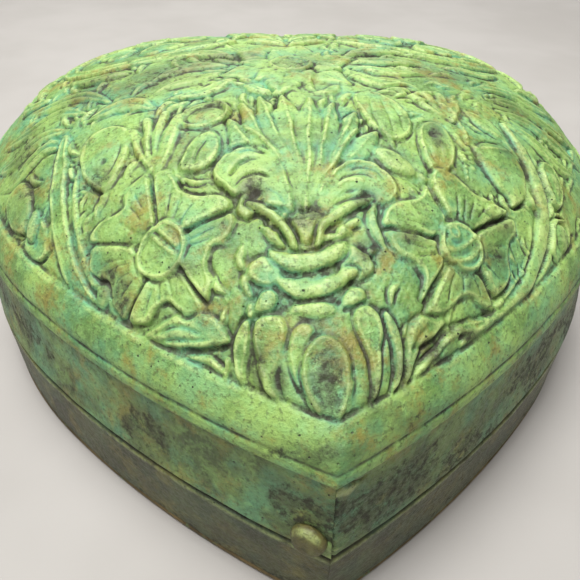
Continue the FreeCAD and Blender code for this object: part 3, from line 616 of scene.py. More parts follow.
def draw_leaves(relief):
    """Leaf groups below the flowers, down to the lotus."""
    leaves = [
        ([(-26.6, -44.6), (-22.4, -43.9), (-18.4, -43.0), (-15.4, -43.5), (-13.2, -45.4), (-11.9, -47.9),
          (-15.2, -48.2),
          (-18.6, -47.5), (-21.4, -46.6), (-24.2, -45.8)],
         [[(-23.0, -44.9), (-19.0, -44.6), (-15.2, -46.4)],
          [(-21.6, -45.8), (-18.4, -46.4), (-14.6, -47.2)]]),
        ([(-19.0, -48.4), (-16.6, -48.7), (-14.4, -49.6), (-12.8, -51.2), (-12.9, -52.9), (-15.2, -52.7),
          (-17.4, -51.6),
          (-18.9, -50.2)], [[(-18.2, -48.9), (-16.4, -49.8), (-14.4, -51.0)]]),
        ([(-27.2, -45.8), (-24.4, -46.0), (-22.0, -47.0), (-20.6, -48.8), (-20.6, -50.4), (-23.4, -48.9),
          (-25.8, -47.2)],
         [[(-25.6, -46.3), (-23.6, -47.3), (-21.6, -49.2)],
          [(-24.8, -46.2), (-22.6, -47.4), (-21.2, -48.9)]]),
        ([(9.2, -54.6), (9.1, -51.0), (9.6, -48.2), (11.2, -46.0), (13.6, -45.2), (15.6, -45.8),
          (13.8, -47.8), (11.6, -49.2),
          (10.4, -51.6)], [[(10.0, -50.0), (11.2, -48.0), (13.0, -46.6)]]),
        ([(9.9, -55.3), (10.6, -52.4), (12.0, -50.6), (14.2, -48.8), (16.2, -46.9), (18.0, -46.6),
          (17.0, -49.0),
          (14.8, -51.8), (12.4, -54.2)], [[(11.2, -53.6), (12.8, -51.4), (15.2, -48.8)]]),
        ([(13.8, -53.4), (15.4, -51.0), (17.8, -49.6), (20.6, -48.6), (23.4, -48.4), (20.8, -50.4),
          (17.6, -52.4)],
         [[(15.2, -52.0), (17.8, -50.6), (20.8, -49.4)]]),
        ([(16.6, -46.6), (19.4, -44.9), (22.6, -43.9), (24.6, -44.2), (22.0, -45.6), (19.2, -47.0)],
         [[(18.0, -46.2), (20.0, -45.4), (22.4, -44.6)]]),
    ]
    for outline, veins in leaves:
        relief.plate(outline, 0.6, lift=0.3, soft=1.0, rim=0.2, groove=0.55)
        for vein in veins:
            relief.cut(vein, 0.24, 0.42)
    relief.cut([(9.6, -55.6), (12.6, -54.4), (15.0, -52.2), (17.4, -49.8)], 0.3, 0.5)
    relief.cut([(-19.2, -50.4), (-17.0, -52.2), (-12.8, -53.2)], 0.26, 0.45)
    relief.cut([(-18.6, -47.9), (-15.6, -48.6), (-12.0, -48.4)], 0.24, 0.45)
    relief.cut([(-10.8, -47.0), (-9.6, -45.4), (-8.4, -44.2)], 0.3, 0.4)


def draw_buds(relief):
    """Buds, teardrops and ribbed cups above the flowers."""
    relief.plate([(-33.4, -12.6), (-33.2, -17.6), (-31.2, -20.8), (-28.8, -22.6), (-26.6, -20.4),
                  (-25.2, -17.0),
                  (-25.4, -13.0), (-27.4, -10.6), (-31.0, -10.4)], 0.45, lift=0.35, soft=1.2, rim=0.35,
                  groove=0.5)
    relief.plate([(-31.6, -13.4), (-31.4, -17.4), (-29.0, -20.0), (-27.2, -17.6), (-27.0, -13.6),
                  (-29.2, -11.8)], 0.5,
                 lift=0.45, soft=1.3, rim=0.1, groove=0.35)
    relief.dent((-29.2, -17.2), 0.9, 0.6)
    relief.plate([(24.4, -18.6), (24.6, -21.2), (26.2, -23.8), (28.6, -25.5), (29.4, -26.4), (31.4, -24.6),
                  (32.8, -21.8),
                  (32.9, -19.2), (31.8, -16.6), (29.8, -15.2), (27.0, -15.6), (25.0, -16.8)],
                 1.25, lift=0.3, soft=2.0, rim=0.1, groove=0.75)
    relief.ridge([(23.6, -17.8), (26.8, -17.2), (30.0, -15.8)], 0.3, 0.4)
    relief.oval((-14.6, -12.8), (3.9, 3.0), tilt=10, rise=0.6, lift=0.4, form="dish", groove=0.5)
    relief.oval((-14.4, -13.4), (2.4, 1.6), tilt=12, rise=0.5, lift=0.4, groove=0.35)
    relief.cut([(-17.4, -11.4), (-15.2, -10.4), (-12.6, -10.2)], 0.45, 0.7)
    relief.plate([(-17.6, -23.4), (-17.2, -20.4), (-15.4, -17.4), (-13.4, -17.0), (-12.0, -18.8),
                  (-12.2, -21.6),
                  (-14.2, -24.1)], 0.7, lift=0.3, soft=0.9, rim=0.15, groove=0.55)
    relief.cut([(-15.6, -22.8), (-14.8, -20.6), (-13.8, -18.6)], 0.24, 0.45)
    relief.oval((10.5, -24.2), (3.6, 1.75), tilt=-40, rise=1.0, lift=0.3, groove=0.6)
    relief.plate([(6.8, -9.4), (9.8, -7.8), (13.0, -9.8), (14.6, -13.8), (13.8, -18.0), (11.2, -19.8),
                  (8.4, -17.6),
                  (7.2, -13.4)], 0.55, lift=0.3, soft=1.6, rim=0.2, groove=0.45)
    for line in ([(9.4, -18.2), (9.0, -14.4), (9.4, -10.6)], [(11.2, -18.8), (11.2, -14.6), (11.2, -10.2)],
                 [(12.8, -17.2), (12.9, -14.4), (12.2, -11.2)]):
        relief.cut(line, 0.24, 0.3)
    relief.dent((14.8, -13.8), 0.7, 0.5)
    relief.plate([(15.6, -24.4), (14.9, -21.2), (15.0, -17.6), (16.1, -15.1), (17.8, -14.3), (19.5, -15.1),
                  (20.4, -18.0),
                  (20.0, -21.4), (18.6, -23.8), (17.0, -25.0)], 0.45, lift=0.3, soft=0.9, rim=0.3,
                  groove=0.5)
    relief.stroke([(17.0, -22.6), (16.8, -20.4), (16.6, -18.6)], (0.3, 0.55, 0.4), 0.5, lift=0.5,
                  groove=0.35)
    relief.stroke([(18.4, -22.6), (18.5, -20.2), (18.2, -18.2)], (0.3, 0.55, 0.4), 0.5, lift=0.5,
                  groove=0.35)
    relief.dent((17.3, -17.3), 0.8, 0.8)
    for base, tips in (((-20.8, -23.2), ((-25.2, -13.2), (-23.0, -11.6), (-20.6, -11.2), (-18.4, -12.6))),
                       ((21.6, -12.8), ((16.4, -8.0), (18.4, -6.6), (20.8, -6.2), (23.2, -7.2)))):
        for tip in tips:
            relief.stroke([base, between(base, tip, 0.5), tip], (0.5, 0.9, 1.2, 0.8), 0.5, lift=0.3,
                          groove=0.4, keel=-0.2)


def draw_outer_drops(relief):
    """Drops between the frames and the border, and long leaves that sweep out over the shoulders."""
    relief.plate([(-50.0, -12.0), (-49.2, -17.0), (-47.2, -20.0), (-44.6, -21.4), (-43.4, -18.6),
                  (-43.8, -14.6),
                  (-46.0, -11.2)], 0.9, lift=0.3, soft=1.5, rim=0.1, groove=0.7)
    relief.plate([(-45.0, -22.4), (-44.8, -25.2), (-42.8, -27.2), (-40.6, -27.4), (-39.8, -24.8),
                  (-40.6, -21.4),
                  (-42.4, -18.8), (-44.2, -19.8)], 0.4, lift=0.25, soft=0.9, rim=0.25, groove=0.55)
    relief.oval((-42.8, -21.6), (1.5, 2.1), tilt=-12, rise=0.8, lift=0.45, groove=0.4)
    relief.dent((-42.4, -24.5), 0.8, 0.45)
    relief.plate([(37.0, -16.0), (37.2, -19.4), (38.8, -21.7), (40.6, -21.2), (42.0, -18.8), (41.8, -15.6),
                  (40.0, -13.6),
                  (38.0, -13.8)], 0.35, lift=0.3, soft=0.9, rim=0.35, groove=0.55)
    relief.oval((39.6, -17.4), (1.5, 2.4), tilt=8, rise=0.6, lift=0.4, groove=0.4)
    relief.plate([(38.2, -24.4), (37.2, -27.6), (37.9, -30.2), (39.8, -31.3), (41.8, -30.2), (43.0, -27.4),
                  (43.0, -24.2),
                  (41.0, -22.8)], 0.35, lift=0.3, soft=0.9, rim=0.35, groove=0.6)
    relief.oval((40.4, -26.4), (1.8, 2.2), tilt=15, rise=0.7, lift=0.4, groove=0.45)
    sweeps = [
        [(-40.6, -29.8), (-43.6, -31.0), (-46.6, -27.6)], [(-40.0, -31.0), (-41.8, -34.6), (-40.0, -38.4)],
        [(-38.8, -33.6), (-38.4, -37.0), (-35.6, -40.6)], [(38.6, -33.4), (40.4, -35.0), (43.4, -32.8)],
        [(37.0, -35.4), (37.6, -38.2), (34.6, -41.8)], [(35.2, -38.2), (34.0, -41.4), (30.6, -44.2)],
        [(-36.4, -9.6), (-41.0, -7.4), (-47.0, -9.4), (-52.0, -8.4)],
        [(-36.6, -6.0), (-42.8, -3.6), (-49.0, -4.8), (-54.0, -2.4)],
        [(-34.0, -3.2), (-40.0, 0.8), (-47.6, 1.2), (-54.4, 4.6)],
        [(-30.0, -2.4), (-35.6, 3.2), (-43.0, 5.8), (-50.6, 10.8)],
        [(31.6, -8.0), (37.0, -9.4), (43.0, -11.8), (48.6, -10.2)],
        [(31.2, -5.0), (38.6, -4.6), (45.6, -6.4), (52.4, -4.6)],
        [(30.4, -2.0), (38.0, -0.2), (46.0, -0.8), (53.8, 1.6)],
        [(28.6, 0.6), (35.4, 4.0), (43.4, 5.2), (51.6, 9.0)],
        [(-22.0, -8.4), (-27.0, -5.2), (-33.6, -6.0)], [(24.6, -9.0), (28.6, -12.0), (31.0, -13.2)],
    ]
    for sweep in sweeps:
        relief.stroke(sweep, (0.3, 1.5, 1.9, 1.4, 0.3), 0.4, lift=0.25, form="flat", groove=0.45,
                      keel=-0.35)


def draw_crown_flower(relief):
    """The flower at the dome's middle, with long leaves round it."""
    centre = (-1.5, 2.0)
    for start, middle, end, half in (
        ((-10.4, -3.2), (-15.0, -6.6), (-20.6, -7.0), 1.5),
        ((-11.6, -0.6), (-17.0, -1.8), (-22.8, -4.4), 1.5),
        ((-12.0, 3.0), (-17.4, 3.6), (-23.4, 0.4), 1.6), ((-11.0, 7.0), (-16.4, 9.8), (-23.0, 9.6), 1.6),
        ((7.6, -2.6), (12.0, -4.6), (16.8, -3.8), 1.5), ((8.8, 0.6), (14.4, 0.2), (20.6, 1.4), 1.5),
        ((9.0, 3.6), (14.8, 5.0), (21.0, 5.6), 1.6), ((8.2, 7.4), (13.6, 10.6), (20.0, 11.0), 1.6),
        ((-8.4, -6.0), (-6.4, -8.2), (-3.2, -8.8), 1.1), ((5.0, -6.4), (3.2, -8.6), (0.4, -9.0), 1.1),
    ):
        relief.stroke([start, middle, end], (0.5, half, half, half * 0.6, 0.2), 0.55, lift=0.3, groove=0.45,
                      keel=-0.25)
    for ring, reach, half in ((0, 10.6, 3.4), (1, 7.4, 2.4)):
        for k in range(6):
            turn = 2 * math.pi * (k + 0.5 * ring) / 6 + 0.2
            tip = (centre[0] + reach * math.sin(turn), centre[1] + reach * math.cos(turn))
            relief.stroke([centre, between(centre, tip, 0.6), tip],
                          (0.8, half * 0.7, half, half * 0.8, 0.8),
                          0.5, lift=0.25 + 0.3 * ring, form="flat", groove=0.5, keel=-0.25)
    relief.oval(centre, (3.6, 3.6), rise=0.5, lift=0.8, form="dish", groove=0.5)
    for k in range(10):
        turn = 2 * math.pi * k / 10
        relief.oval((centre[0] + 1.7 * math.sin(turn), centre[1] + 1.7 * math.cos(turn)), (0.42, 0.42),
                    rise=0.3, lift=1.0, groove=0.1)


def leaf(relief, root, middle, tip, half, rise=0.6):
    """A pointed leaf with a cut midrib."""
    relief.stroke([root, middle, tip], (half * 0.35, half * 0.95, half, half * 0.7, 0.1), rise, lift=0.3,
                  groove=0.5, keel=-0.35)


def draw_back(relief):
    """The rear of the lid: each lobe has a flower inside a scroll, with leaves towards the cleft."""
    for side in (1, -1):
        def at(u, v):
            return (-1.4 + side * u, v)

        relief.stroke([at(9.0, 17.0), at(14.0, 13.4), at(23.0, 11.0), at(33.0, 12.6), at(40.0, 19.0),
                       at(41.0, 28.0),
                       at(36.0, 37.0), at(28.0, 43.0), at(19.0, 43.0), at(11.0, 37.0)],
                      (0.5, 1.2, 1.5, 1.5, 1.5, 1.5, 1.4, 1.2, 0.9, 0.4), 0.8, lift=0.3, form="gutter",
                      groove=0.5)
        centre = at(25.0, 26.4)
        for k in range(5):
            turn = 2 * math.pi * k / 5 + 0.3
            outline = []
            for spread, reach in ((-0.16, 3.4), (-0.50, 7.4), (-0.42, 10.2), (-0.16, 10.8), (0.0, 9.6),
                                  (0.16, 10.8),
                                  (0.42, 10.2), (0.50, 7.4), (0.16, 3.4)):
                outline.append((centre[0] + reach * math.sin(turn + spread),
                                centre[1] + reach * math.cos(turn + spread)))
            relief.plate(outline, 0.45, lift=0.35, soft=1.1, rim=0.26, groove=0.5)
            for spread in (-0.16, 0.0, 0.16):
                start = (centre[0] + 4.4 * math.sin(turn + spread),
                         centre[1] + 4.4 * math.cos(turn + spread))
                end = (centre[0] + 7.6 * math.sin(turn + spread * 1.6),
                       centre[1] + 7.6 * math.cos(turn + spread * 1.6))
                relief.cut([start, between(start, end, 0.5), end], 0.2, 0.36)
        relief.oval(centre, (3.6, 3.6), rise=0.6, lift=0.75, form="dish", groove=0.5)
        relief.oval(centre, (1.2, 1.2), rise=0.4, lift=0.9, groove=0.3)
        for root, middle, tip, half in (
            (at(2.0, 22.0), at(5.0, 28.0), at(9.0, 33.0), 2.0),
            (at(1.2, 30.0), at(4.0, 36.0), at(10.0, 41.0), 1.8),
            (at(9.0, 21.0), at(8.4, 25.0), at(11.0, 30.0), 1.6),
            (at(43.0, 10.0), at(48.0, 13.0), at(51.0, 20.0), 1.8),
            (at(45.0, 22.0), at(50.0, 28.0), at(50.0, 35.0), 1.8),
            (at(43.0, 34.0), at(45.0, 41.0), at(41.0, 48.0), 1.8),
            (at(35.0, 45.0), at(33.0, 51.0), at(27.0, 54.0), 1.8),
            (at(22.0, 47.0), at(17.0, 50.0), at(11.0, 48.0), 1.6),
            (at(0.6, 14.0), at(3.6, 16.6), at(7.6, 16.8), 1.6),
            (at(0.8, 18.0), at(3.4, 21.4), at(7.0, 24.0), 1.5),
            (at(27.0, 6.8), at(34.0, 8.6), at(40.0, 13.4), 1.3),
            (at(46.0, 14.0), at(47.0, 21.0), at(44.6, 28.0), 1.2),
            (at(44.0, 30.0), at(41.0, 38.0), at(35.0, 43.0), 1.1),
            (at(31.0, 46.4), at(24.0, 47.6), at(17.0, 45.6), 1.1),
        ):
            leaf(relief, root, middle, tip, half, rise=0.65)


def ground(relief):
    """The chased ground under every motif: uneven hammering and small punched pits."""
    u, v = relief.points.T
    relief.height += 0.10 * rough(u, v, 4.0, 3) + 0.05 * value_noise(u, v, 0.9, 5)
    cell = 0.95
    row = np.round(v / cell)
    shifted = u + 0.5 * cell * (row % 2)
    du = shifted - np.round(shifted / cell) * cell
    dv = v - row * cell
    relief.height -= 0.16 * np.exp(-((du**2 + dv**2) / 0.05)) * smooth(-0.3, 0.3,
                                                                       value_noise(u, v, 9.0, 11))


def draw_sharp_lines(relief):
    """The crispest lines of the front, chased last: dark cuts under edges and fine pale ridges."""
    dark = [
        [(-3.9, -38.2), (-2.7, -38.4), (-1.0, -38.2), (0.2, -37.6), (1.8, -36.7)],
        [(-6.2, -39.2), (-4.9, -40.4), (-3.8, -41.0), (-2.1, -41.2), (-0.4, -40.8), (1.2, -40.0),
         (2.0, -39.2)],
        [(-5.4, -42.8), (-4.0, -44.2), (-2.0, -44.4), (0.4, -43.8), (2.4, -42.5)],
        [(2.0, -43.0), (3.2, -41.9), (4.9, -41.1)], [(-8.6, -38.7), (-7.4, -38.3), (-6.4, -38.6)],
        [(-26.4, -42.1), (-25.0, -43.0), (-23.5, -43.4), (-22.3, -42.9), (-21.4, -41.8), (-20.2, -41.7),
         (-19.1, -42.8),
         (-17.4, -43.9), (-15.4, -43.0)],
        [(-28.6, -38.0), (-29.0, -36.0), (-30.4, -35.2), (-31.8, -33.8)],
        [(-18.4, -47.4), (-15.6, -48.3), (-12.4, -48.2)], [(-19.0, -50.3), (-16.6, -52.2), (-12.9, -53.1)],
        [(-11.4, -22.2), (-9.6, -21.2), (-7.9, -21.6), (-6.3, -23.4)],
        [(-10.9, -26.0), (-9.9, -24.7), (-8.4, -24.1)],
        [(-9.3, -26.8), (-7.7, -26.8), (-6.2, -27.4)],
        [(-7.6, -33.2), (-6.4, -33.6), (-5.2, -34.7), (-4.2, -36.8)],
        [(-9.9, -32.6), (-9.0, -33.3), (-7.9, -32.5)], [(2.8, -35.1), (3.6, -35.4), (4.8, -35.1)],
        [(0.9, -35.2), (2.1, -34.5), (3.3, -34.3)], [(7.8, -25.6), (12.2, -26.8), (13.0, -26.3)],
        [(-16.2, -24.3), (-13.8, -23.7), (-12.2, -22.8)], [(-47.9, -20.6), (-46.4, -21.6), (-44.8, -21.4)],
        [(9.8, -55.3), (12.4, -54.1), (14.6, -52.0), (16.6, -49.9), (20.0, -47.8)],
        [(9.2, -49.8), (12.0, -49.0), (13.8, -47.8), (15.2, -46.6), (18.0, -45.4), (24.1, -43.3)],
        [(29.4, -26.6), (31.8, -24.4), (33.0, -21.6), (33.0, -19.0)],
        [(37.9, -30.4), (39.8, -31.4), (41.8, -30.4)],
        [(25.0, -40.9), (27.0, -39.3), (27.9, -37.0)], [(14.4, -45.5), (12.6, -45.5)],
        [(-43.8, -26.6), (-41.8, -27.7), (-39.6, -27.0)], [(-33.3, -19.6), (-31.4, -21.4), (-28.9, -22.9)],
    ]
    for line in dark:
        relief.cut(line, 0.24, 0.62)
    pale = [
        [(-0.2, -59.4), (-2.2, -57.2), (-3.4, -54.4), (-3.7, -51.6)],
        [(0.9, -58.6), (1.8, -56.0), (2.2, -53.0)],
        [(-9.0, -55.6), (-10.4, -53.4), (-11.2, -50.6), (-11.2, -48.0)],
        [(-5.9, -56.3), (-7.6, -53.6), (-8.5, -50.4)],
        [(4.9, -55.8), (5.6, -52.6), (5.6, -50.0)], [(7.2, -55.6), (8.0, -52.8), (8.2, -49.8)],
        [(-12.9, -24.2), (-12.8, -25.8), (-11.7, -27.3), (-10.4, -29.2)],
        [(6.2, -32.2), (6.6, -34.0), (7.6, -37.0)],
        [(1.8, -28.0), (2.4, -26.7), (4.0, -25.5), (5.7, -25.0), (7.4, -25.3), (9.1, -26.8), (10.0, -28.6)],
        [(2.3, -29.2), (3.8, -28.3), (5.8, -28.1)], [(-12.3, -49.4), (-12.7, -52.0), (-12.6, -54.6)],
        [(-27.6, -44.2), (-23.5, -47.9), (-20.2, -50.8)],
        [(12.6, -9.6), (16.4, -9.2), (21.6, -10.1), (23.4, -17.2)],
        [(13.2, -50.8), (14.9, -48.6), (17.2, -47.0), (20.0, -46.1)],
        [(-22.5, -12.0), (-22.3, -16.0), (-22.5, -20.0)],
    ]
    for line in pale:
        relief.ridge(line, 0.26, 0.5)


def draw_fillers(relief):
    """Short curved tool strokes that fill the ground, flowing in drifts; the motifs are laid over them."""
    chance = np.random.default_rng(7)
    at = np.c_[chance.uniform(-52, 52, 620), chance.uniform(-56, 50, 620)]
    flow = 1.9 * value_noise(at[:, 0], at[:, 1], 13.0, 41) + 1.2
    for (u, v), turn, size in zip(at, flow, chance.uniform(0.7, 1.3, len(at))):
        du, dv = 1.9 * size * math.cos(turn), 1.9 * size * math.sin(turn)
        bend = (u - 0.35 * dv, v + 0.35 * du)
        relief.stroke([(u - du, v - dv), bend, (u + du, v + dv)], (0.15, 0.5 * size, 0.6 * size, 0.15),
                      0.45,
                      lift=0.12, groove=0.35)


# ---------------------------------------------------------------- meshes

def new_mesh(name, points_mm, faces, body, materials, attributes=None, material_index=None):
    """A smooth-shaded mesh piece, made from millimetres, that rides on a body."""
    mesh = bpy.data.meshes.new(name)
    mesh.from_pydata((np.asarray(points_mm) * MM).tolist(), [], faces)
    piece = bpy.data.objects.new(name, mesh)
    bpy.context.scene.collection.objects.link(piece)
    mesh.polygons.foreach_set("use_smooth", [True] * len(mesh.polygons))
    for material in materials:
        mesh.materials.append(material)
    if material_index is not None:
        mesh.polygons.foreach_set("material_index", material_index)
    for key, values in (attributes or {}).items():
        layer = mesh.attributes.new(key, "FLOAT", "POINT")
        layer.data.foreach_set("value", np.asarray(values, np.float32))
    mesh.update()
    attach(piece, body)
    return piece


def stand_for(piece, slot, *nodes):
    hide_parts(*nodes)
    return piece


def grid_faces(rows, columns, offset=0, flip=False, wrap_rows=False, wrap_columns=False):
    """Quads of a grid of points stored row by row."""
    i, j = np.meshgrid(np.arange(rows if wrap_rows else rows - 1),
                       np.arange(columns if wrap_columns else columns - 1), indexing="ij")
    below, beside = (i + 1) % rows, (j + 1) % columns
    quads = [i * columns + j, i * columns + beside, below * columns + beside, below * columns + j]
    if flip:
        quads.reverse()
    return (np.stack(quads, -1).reshape(-1, 4) + offset).tolist()


def blur_grid(field, radius, times=2):
    """Box blur of a grid, with its edges repeated."""
    for _ in range(times):
        for axis in (0, 1):
            pad = [(0, 0), (0, 0)]
            pad[axis] = (radius + 1, radius)
            total = np.cumsum(np.pad(field, pad, mode="edge"), axis=axis)
            width = 2 * radius + 1
            high = np.take(total, np.arange(width, total.shape[axis]), axis=axis)
            low = np.take(total, np.arange(0, total.shape[axis] - width), axis=axis)
            field = (high - low) / width
    return field


def square_to_disc(count):
    """A square grid bent into a disc: each point's turn from the tip and share of the way out."""
    a, b = np.meshgrid(np.linspace(-1, 1, count), np.linspace(-1, 1, count))
    wide = np.abs(a) >= np.abs(b)
    longer = np.where(wide, a, b)
    shorter = np.where(wide, b, a)
    slant = math.pi / 4 * shorter / np.where(longer == 0, 1.0, longer)
    angle = np.where(wide, slant, math.pi / 2 - slant)
    x, y = longer * np.cos(angle), longer * np.sin(angle)
    return np.arctan2(x, -y), np.abs(longer)


def border_loop(count):
    """Indices round the border of a square grid, in order."""
    last = count - 1
    first_row = np.arange(0, last)
    right = np.arange(0, last) * count + last
    top = last * count + np.arange(last, 0, -1)
    left = np.arange(last, 0, -1) * count
    return np.concatenate([first_row, right, top, left])


def shoulder_lift(y):
    """The shoulder rises a little towards the tip."""
    return 1.4 * np.exp(-np.clip(y - TIP_Y, 0, None) / 13.0)


def surface_normals(grid):
    normal = np.cross(np.gradient(grid, axis=1), np.gradient(grid, axis=0))
    for row, column in ((0, 0), (0, -1), (-1, 0), (-1, -1)):
        normal[row, column] = normal[1 if row == 0 else -2, 1 if column == 0 else -2]
    normal /= np.maximum(np.linalg.norm(normal, axis=-1, keepdims=True), 1e-12)
    middle = len(grid) // 2
    return normal * np.sign(normal[middle, middle, 2])


# Dark, rubbed-in patches on the embossing: u, v, half sizes and strength.
STAINS = [
    (-0.8, -53.0, 2.2, 4.4, 1.0), (-8.6, -51.0, 1.2, 2.6, 0.8), (-6.2, -53.0, 1.0, 2.0, 0.7),
    (4.6, -55.0, 1.2, 2.4, 0.6),
    (8.6, -52.0, 1.2, 2.6, 0.7), (-8.2, -29.4, 1.8, 2.6, 0.9), (-1.8, -33.8, 2.6, 1.6, 0.9),
    (5.8, -31.2, 1.8, 1.6, 0.8),
    (5.2, -38.4, 1.6, 1.8, 0.9), (-29.0, -35.8, 2.0, 2.6, 0.7), (-27.0, -38.6, 1.6, 3.0, 0.9),
    (-17.6, -38.0, 1.8, 1.4, 0.7),
    (-12.2, -33.8, 2.0, 1.2, 0.5), (-30.0, -20.4, 2.2, 2.4, 0.7), (24.6, -35.4, 2.4, 1.4, 0.8),
    (18.6, -40.0, 3.0, 1.8, 0.5),
    (10.6, -36.0, 2.0, 1.4, 0.6), (26.4, -30.6, 2.2, 1.4, 0.6), (-14.4, -11.4, 3.0, 1.4, 0.8),
    (17.6, -17.4, 1.4, 3.0, 0.9),
    (14.0, -49.6, 3.2, 1.4, 0.8), (19.0, -46.8, 2.6, 1.0, 0.9), (29.6, -16.0, 2.4, 1.2, 0.5),
    (-22.0, 2.0, 9.0, 5.0, 0.6),
    (-33.0, 4.0, 8.0, 5.0, 0.5), (24.0, 4.0, 7.0, 4.0, 0.5), (0.0, 2.0, 4.0, 4.0, 0.5),
    (34.0, -2.0, 6.0, 3.0, 0.5),
    (-44.0, -14.0, 3.0, 5.0, 0.5), (-3.0, -61.2, 7.0, 1.3, 0.6), (8.0, -57.6, 6.0, 2.2, 0.45),
    (-47.0, -4.0, 4.0, 6.0, 0.6), (12.0, 7.0, 5.0, 3.0, 0.6), (-12.0, 6.0, 6.0, 3.0, 0.6),
]


def make_dome(outside, inside_metal):
    """The embossed top: a square grid bent into the outline, relief outside, its soft back inside."""
    count = 641
    turn, share = square_to_disc(count)
    dome = Dome()
    base = dome.place(turn, share)
    slack = 1 - (base[..., 2] - SHOULDER) / dome.rise
    base[..., 2] += shoulder_lift(base[..., 1]) * slack**2
    reach = share * dome.edge_at(np.abs(turn))
    u, v = reach * np.sin(turn), -reach * np.cos(turn)

    edge_turns = np.linspace(-math.pi, math.pi, 721)
    edge_reach = dome.edge_at(np.abs(edge_turns))
    edge = np.c_[edge_reach * np.sin(edge_turns), -edge_reach * np.cos(edge_turns)]
    points = np.c_[u.ravel(), v.ravel()]
    edge_distance = np.full(len(points), 20.0)
    close = np.flatnonzero(share.ravel() > 0.75)
    edge_distance[close] = np.minimum(20.0, nearest_on(edge, points[close])[0])

    relief = Relief(u.ravel(), v.ravel())
    ground(relief)
    draw_fillers(relief)
    for draw in (draw_back, draw_outer_drops, draw_frames, draw_leaves, draw_buds, draw_fan,
                 draw_crown_flower,
                 draw_flowers, draw_handles, draw_vase, draw_lotus, draw_sharp_lines):
        draw(relief)
    inner = smooth(7.0, 8.6, edge_distance)
    plain = 0.08 * rough(u.ravel(), v.ravel(), 5.0, 21)
    spacing = 125 / count
    chased = relief.height.reshape(count, count)
    broad = blur_grid(chased, max(2, round(1.5 / spacing)))
    relief.height = (BROAD_KEPT * broad + FINE_KEPT * (chased - broad)).ravel()
    relief.height *= 0.92 + 0.28 * value_noise(u.ravel(), v.ravel(), 8.0, 35)
    relief.height = relief.height * inner + plain * (1 - inner)
    draw_border(relief, edge_distance)
    height = relief.height.reshape(count, count)
    height = blur_grid(height, 1, 1) * 0.5 + height * 0.5
    height = height * smooth(0.0, 1.2, edge_distance).reshape(count, count)

    normal = surface_normals(base)
    outer = base + normal * height[..., None]
    outer[..., 2] = np.minimum(outer[..., 2], CROWN)

    near_blur = blur_grid(height, max(1, round(0.6 / spacing)))
    far_blur = blur_grid(height, max(2, round(2.4 / spacing)))
    # How far each point lies below its surroundings: it gives blue-green patina in the hollows and painted
    # shade in the crevices.
    hollow_and_shade = np.clip((near_blur - height) / 0.14 + (far_blur - height) / 0.9, 0, 1)
    ridge = np.clip((height - near_blur) / 0.15 + (height - far_blur) / 1.2 - 0.1, 0, 1)
    stain_and_shade = np.zeros(count * count)
    for spot_u, spot_v, half_u, half_v, strength in STAINS:
        far = ((points[:, 0] - spot_u) / half_u) ** 2 + ((points[:, 1] - spot_v) / half_v) ** 2
        stain_and_shade = np.maximum(stain_and_shade, min(1.0, 1.3 * strength) * np.exp(-(far**1.5) * 0.7))
    # Darker in the wider hollows round the motifs, in patches.
    sunk = np.clip((far_blur - height) / 0.30, 0, 1) * smooth(-0.5, 0.4, value_noise(u, v, 6.0, 51))
    stain_and_shade = np.maximum(stain_and_shade, 0.65 * sunk.ravel())

    keep = np.arange(0, count, 2)
    few = len(keep)
    back = base + normal * (0.75 * near_blur - SHEET)[..., None]
    back[..., 2] = np.maximum(back[..., 2], SHOULDER)
    back = back[np.ix_(keep, keep)]
    faces = grid_faces(count, count)
    outer_faces = len(faces)
    faces += grid_faces(few, few, offset=count * count, flip=True)
    outer_loop, inner_loop = border_loop(count), border_loop(few) + count * count
    for i, (a, b) in enumerate(zip(outer_loop, np.roll(outer_loop, -1))):
        here, there = inner_loop[i // 2], inner_loop[(i + 1) // 2 % len(inner_loop)]
        faces.append([int(b), int(a), int(here)] if here == there else [int(b), int(a), int(here),
                                                                        int(there)])
    index = np.ones(len(faces), np.int32)
    index[:outer_faces] = 0
    rest = np.zeros(few * few)
    piece = new_mesh("lid_top_embossed", np.vstack([outer.reshape(-1, 3), back.reshape(-1, 3)]), faces,
                     "lid",
                     [outside, inside_metal],
                     {"hollow_and_shade": np.concatenate([hollow_and_shade.ravel(), rest]),
                      "ridge": np.concatenate([ridge.ravel(), rest]),
                      "stain_and_shade": np.concatenate([stain_and_shade, rest])}, index)
    stand_for(piece, "embossed_metal", "lid_dome")


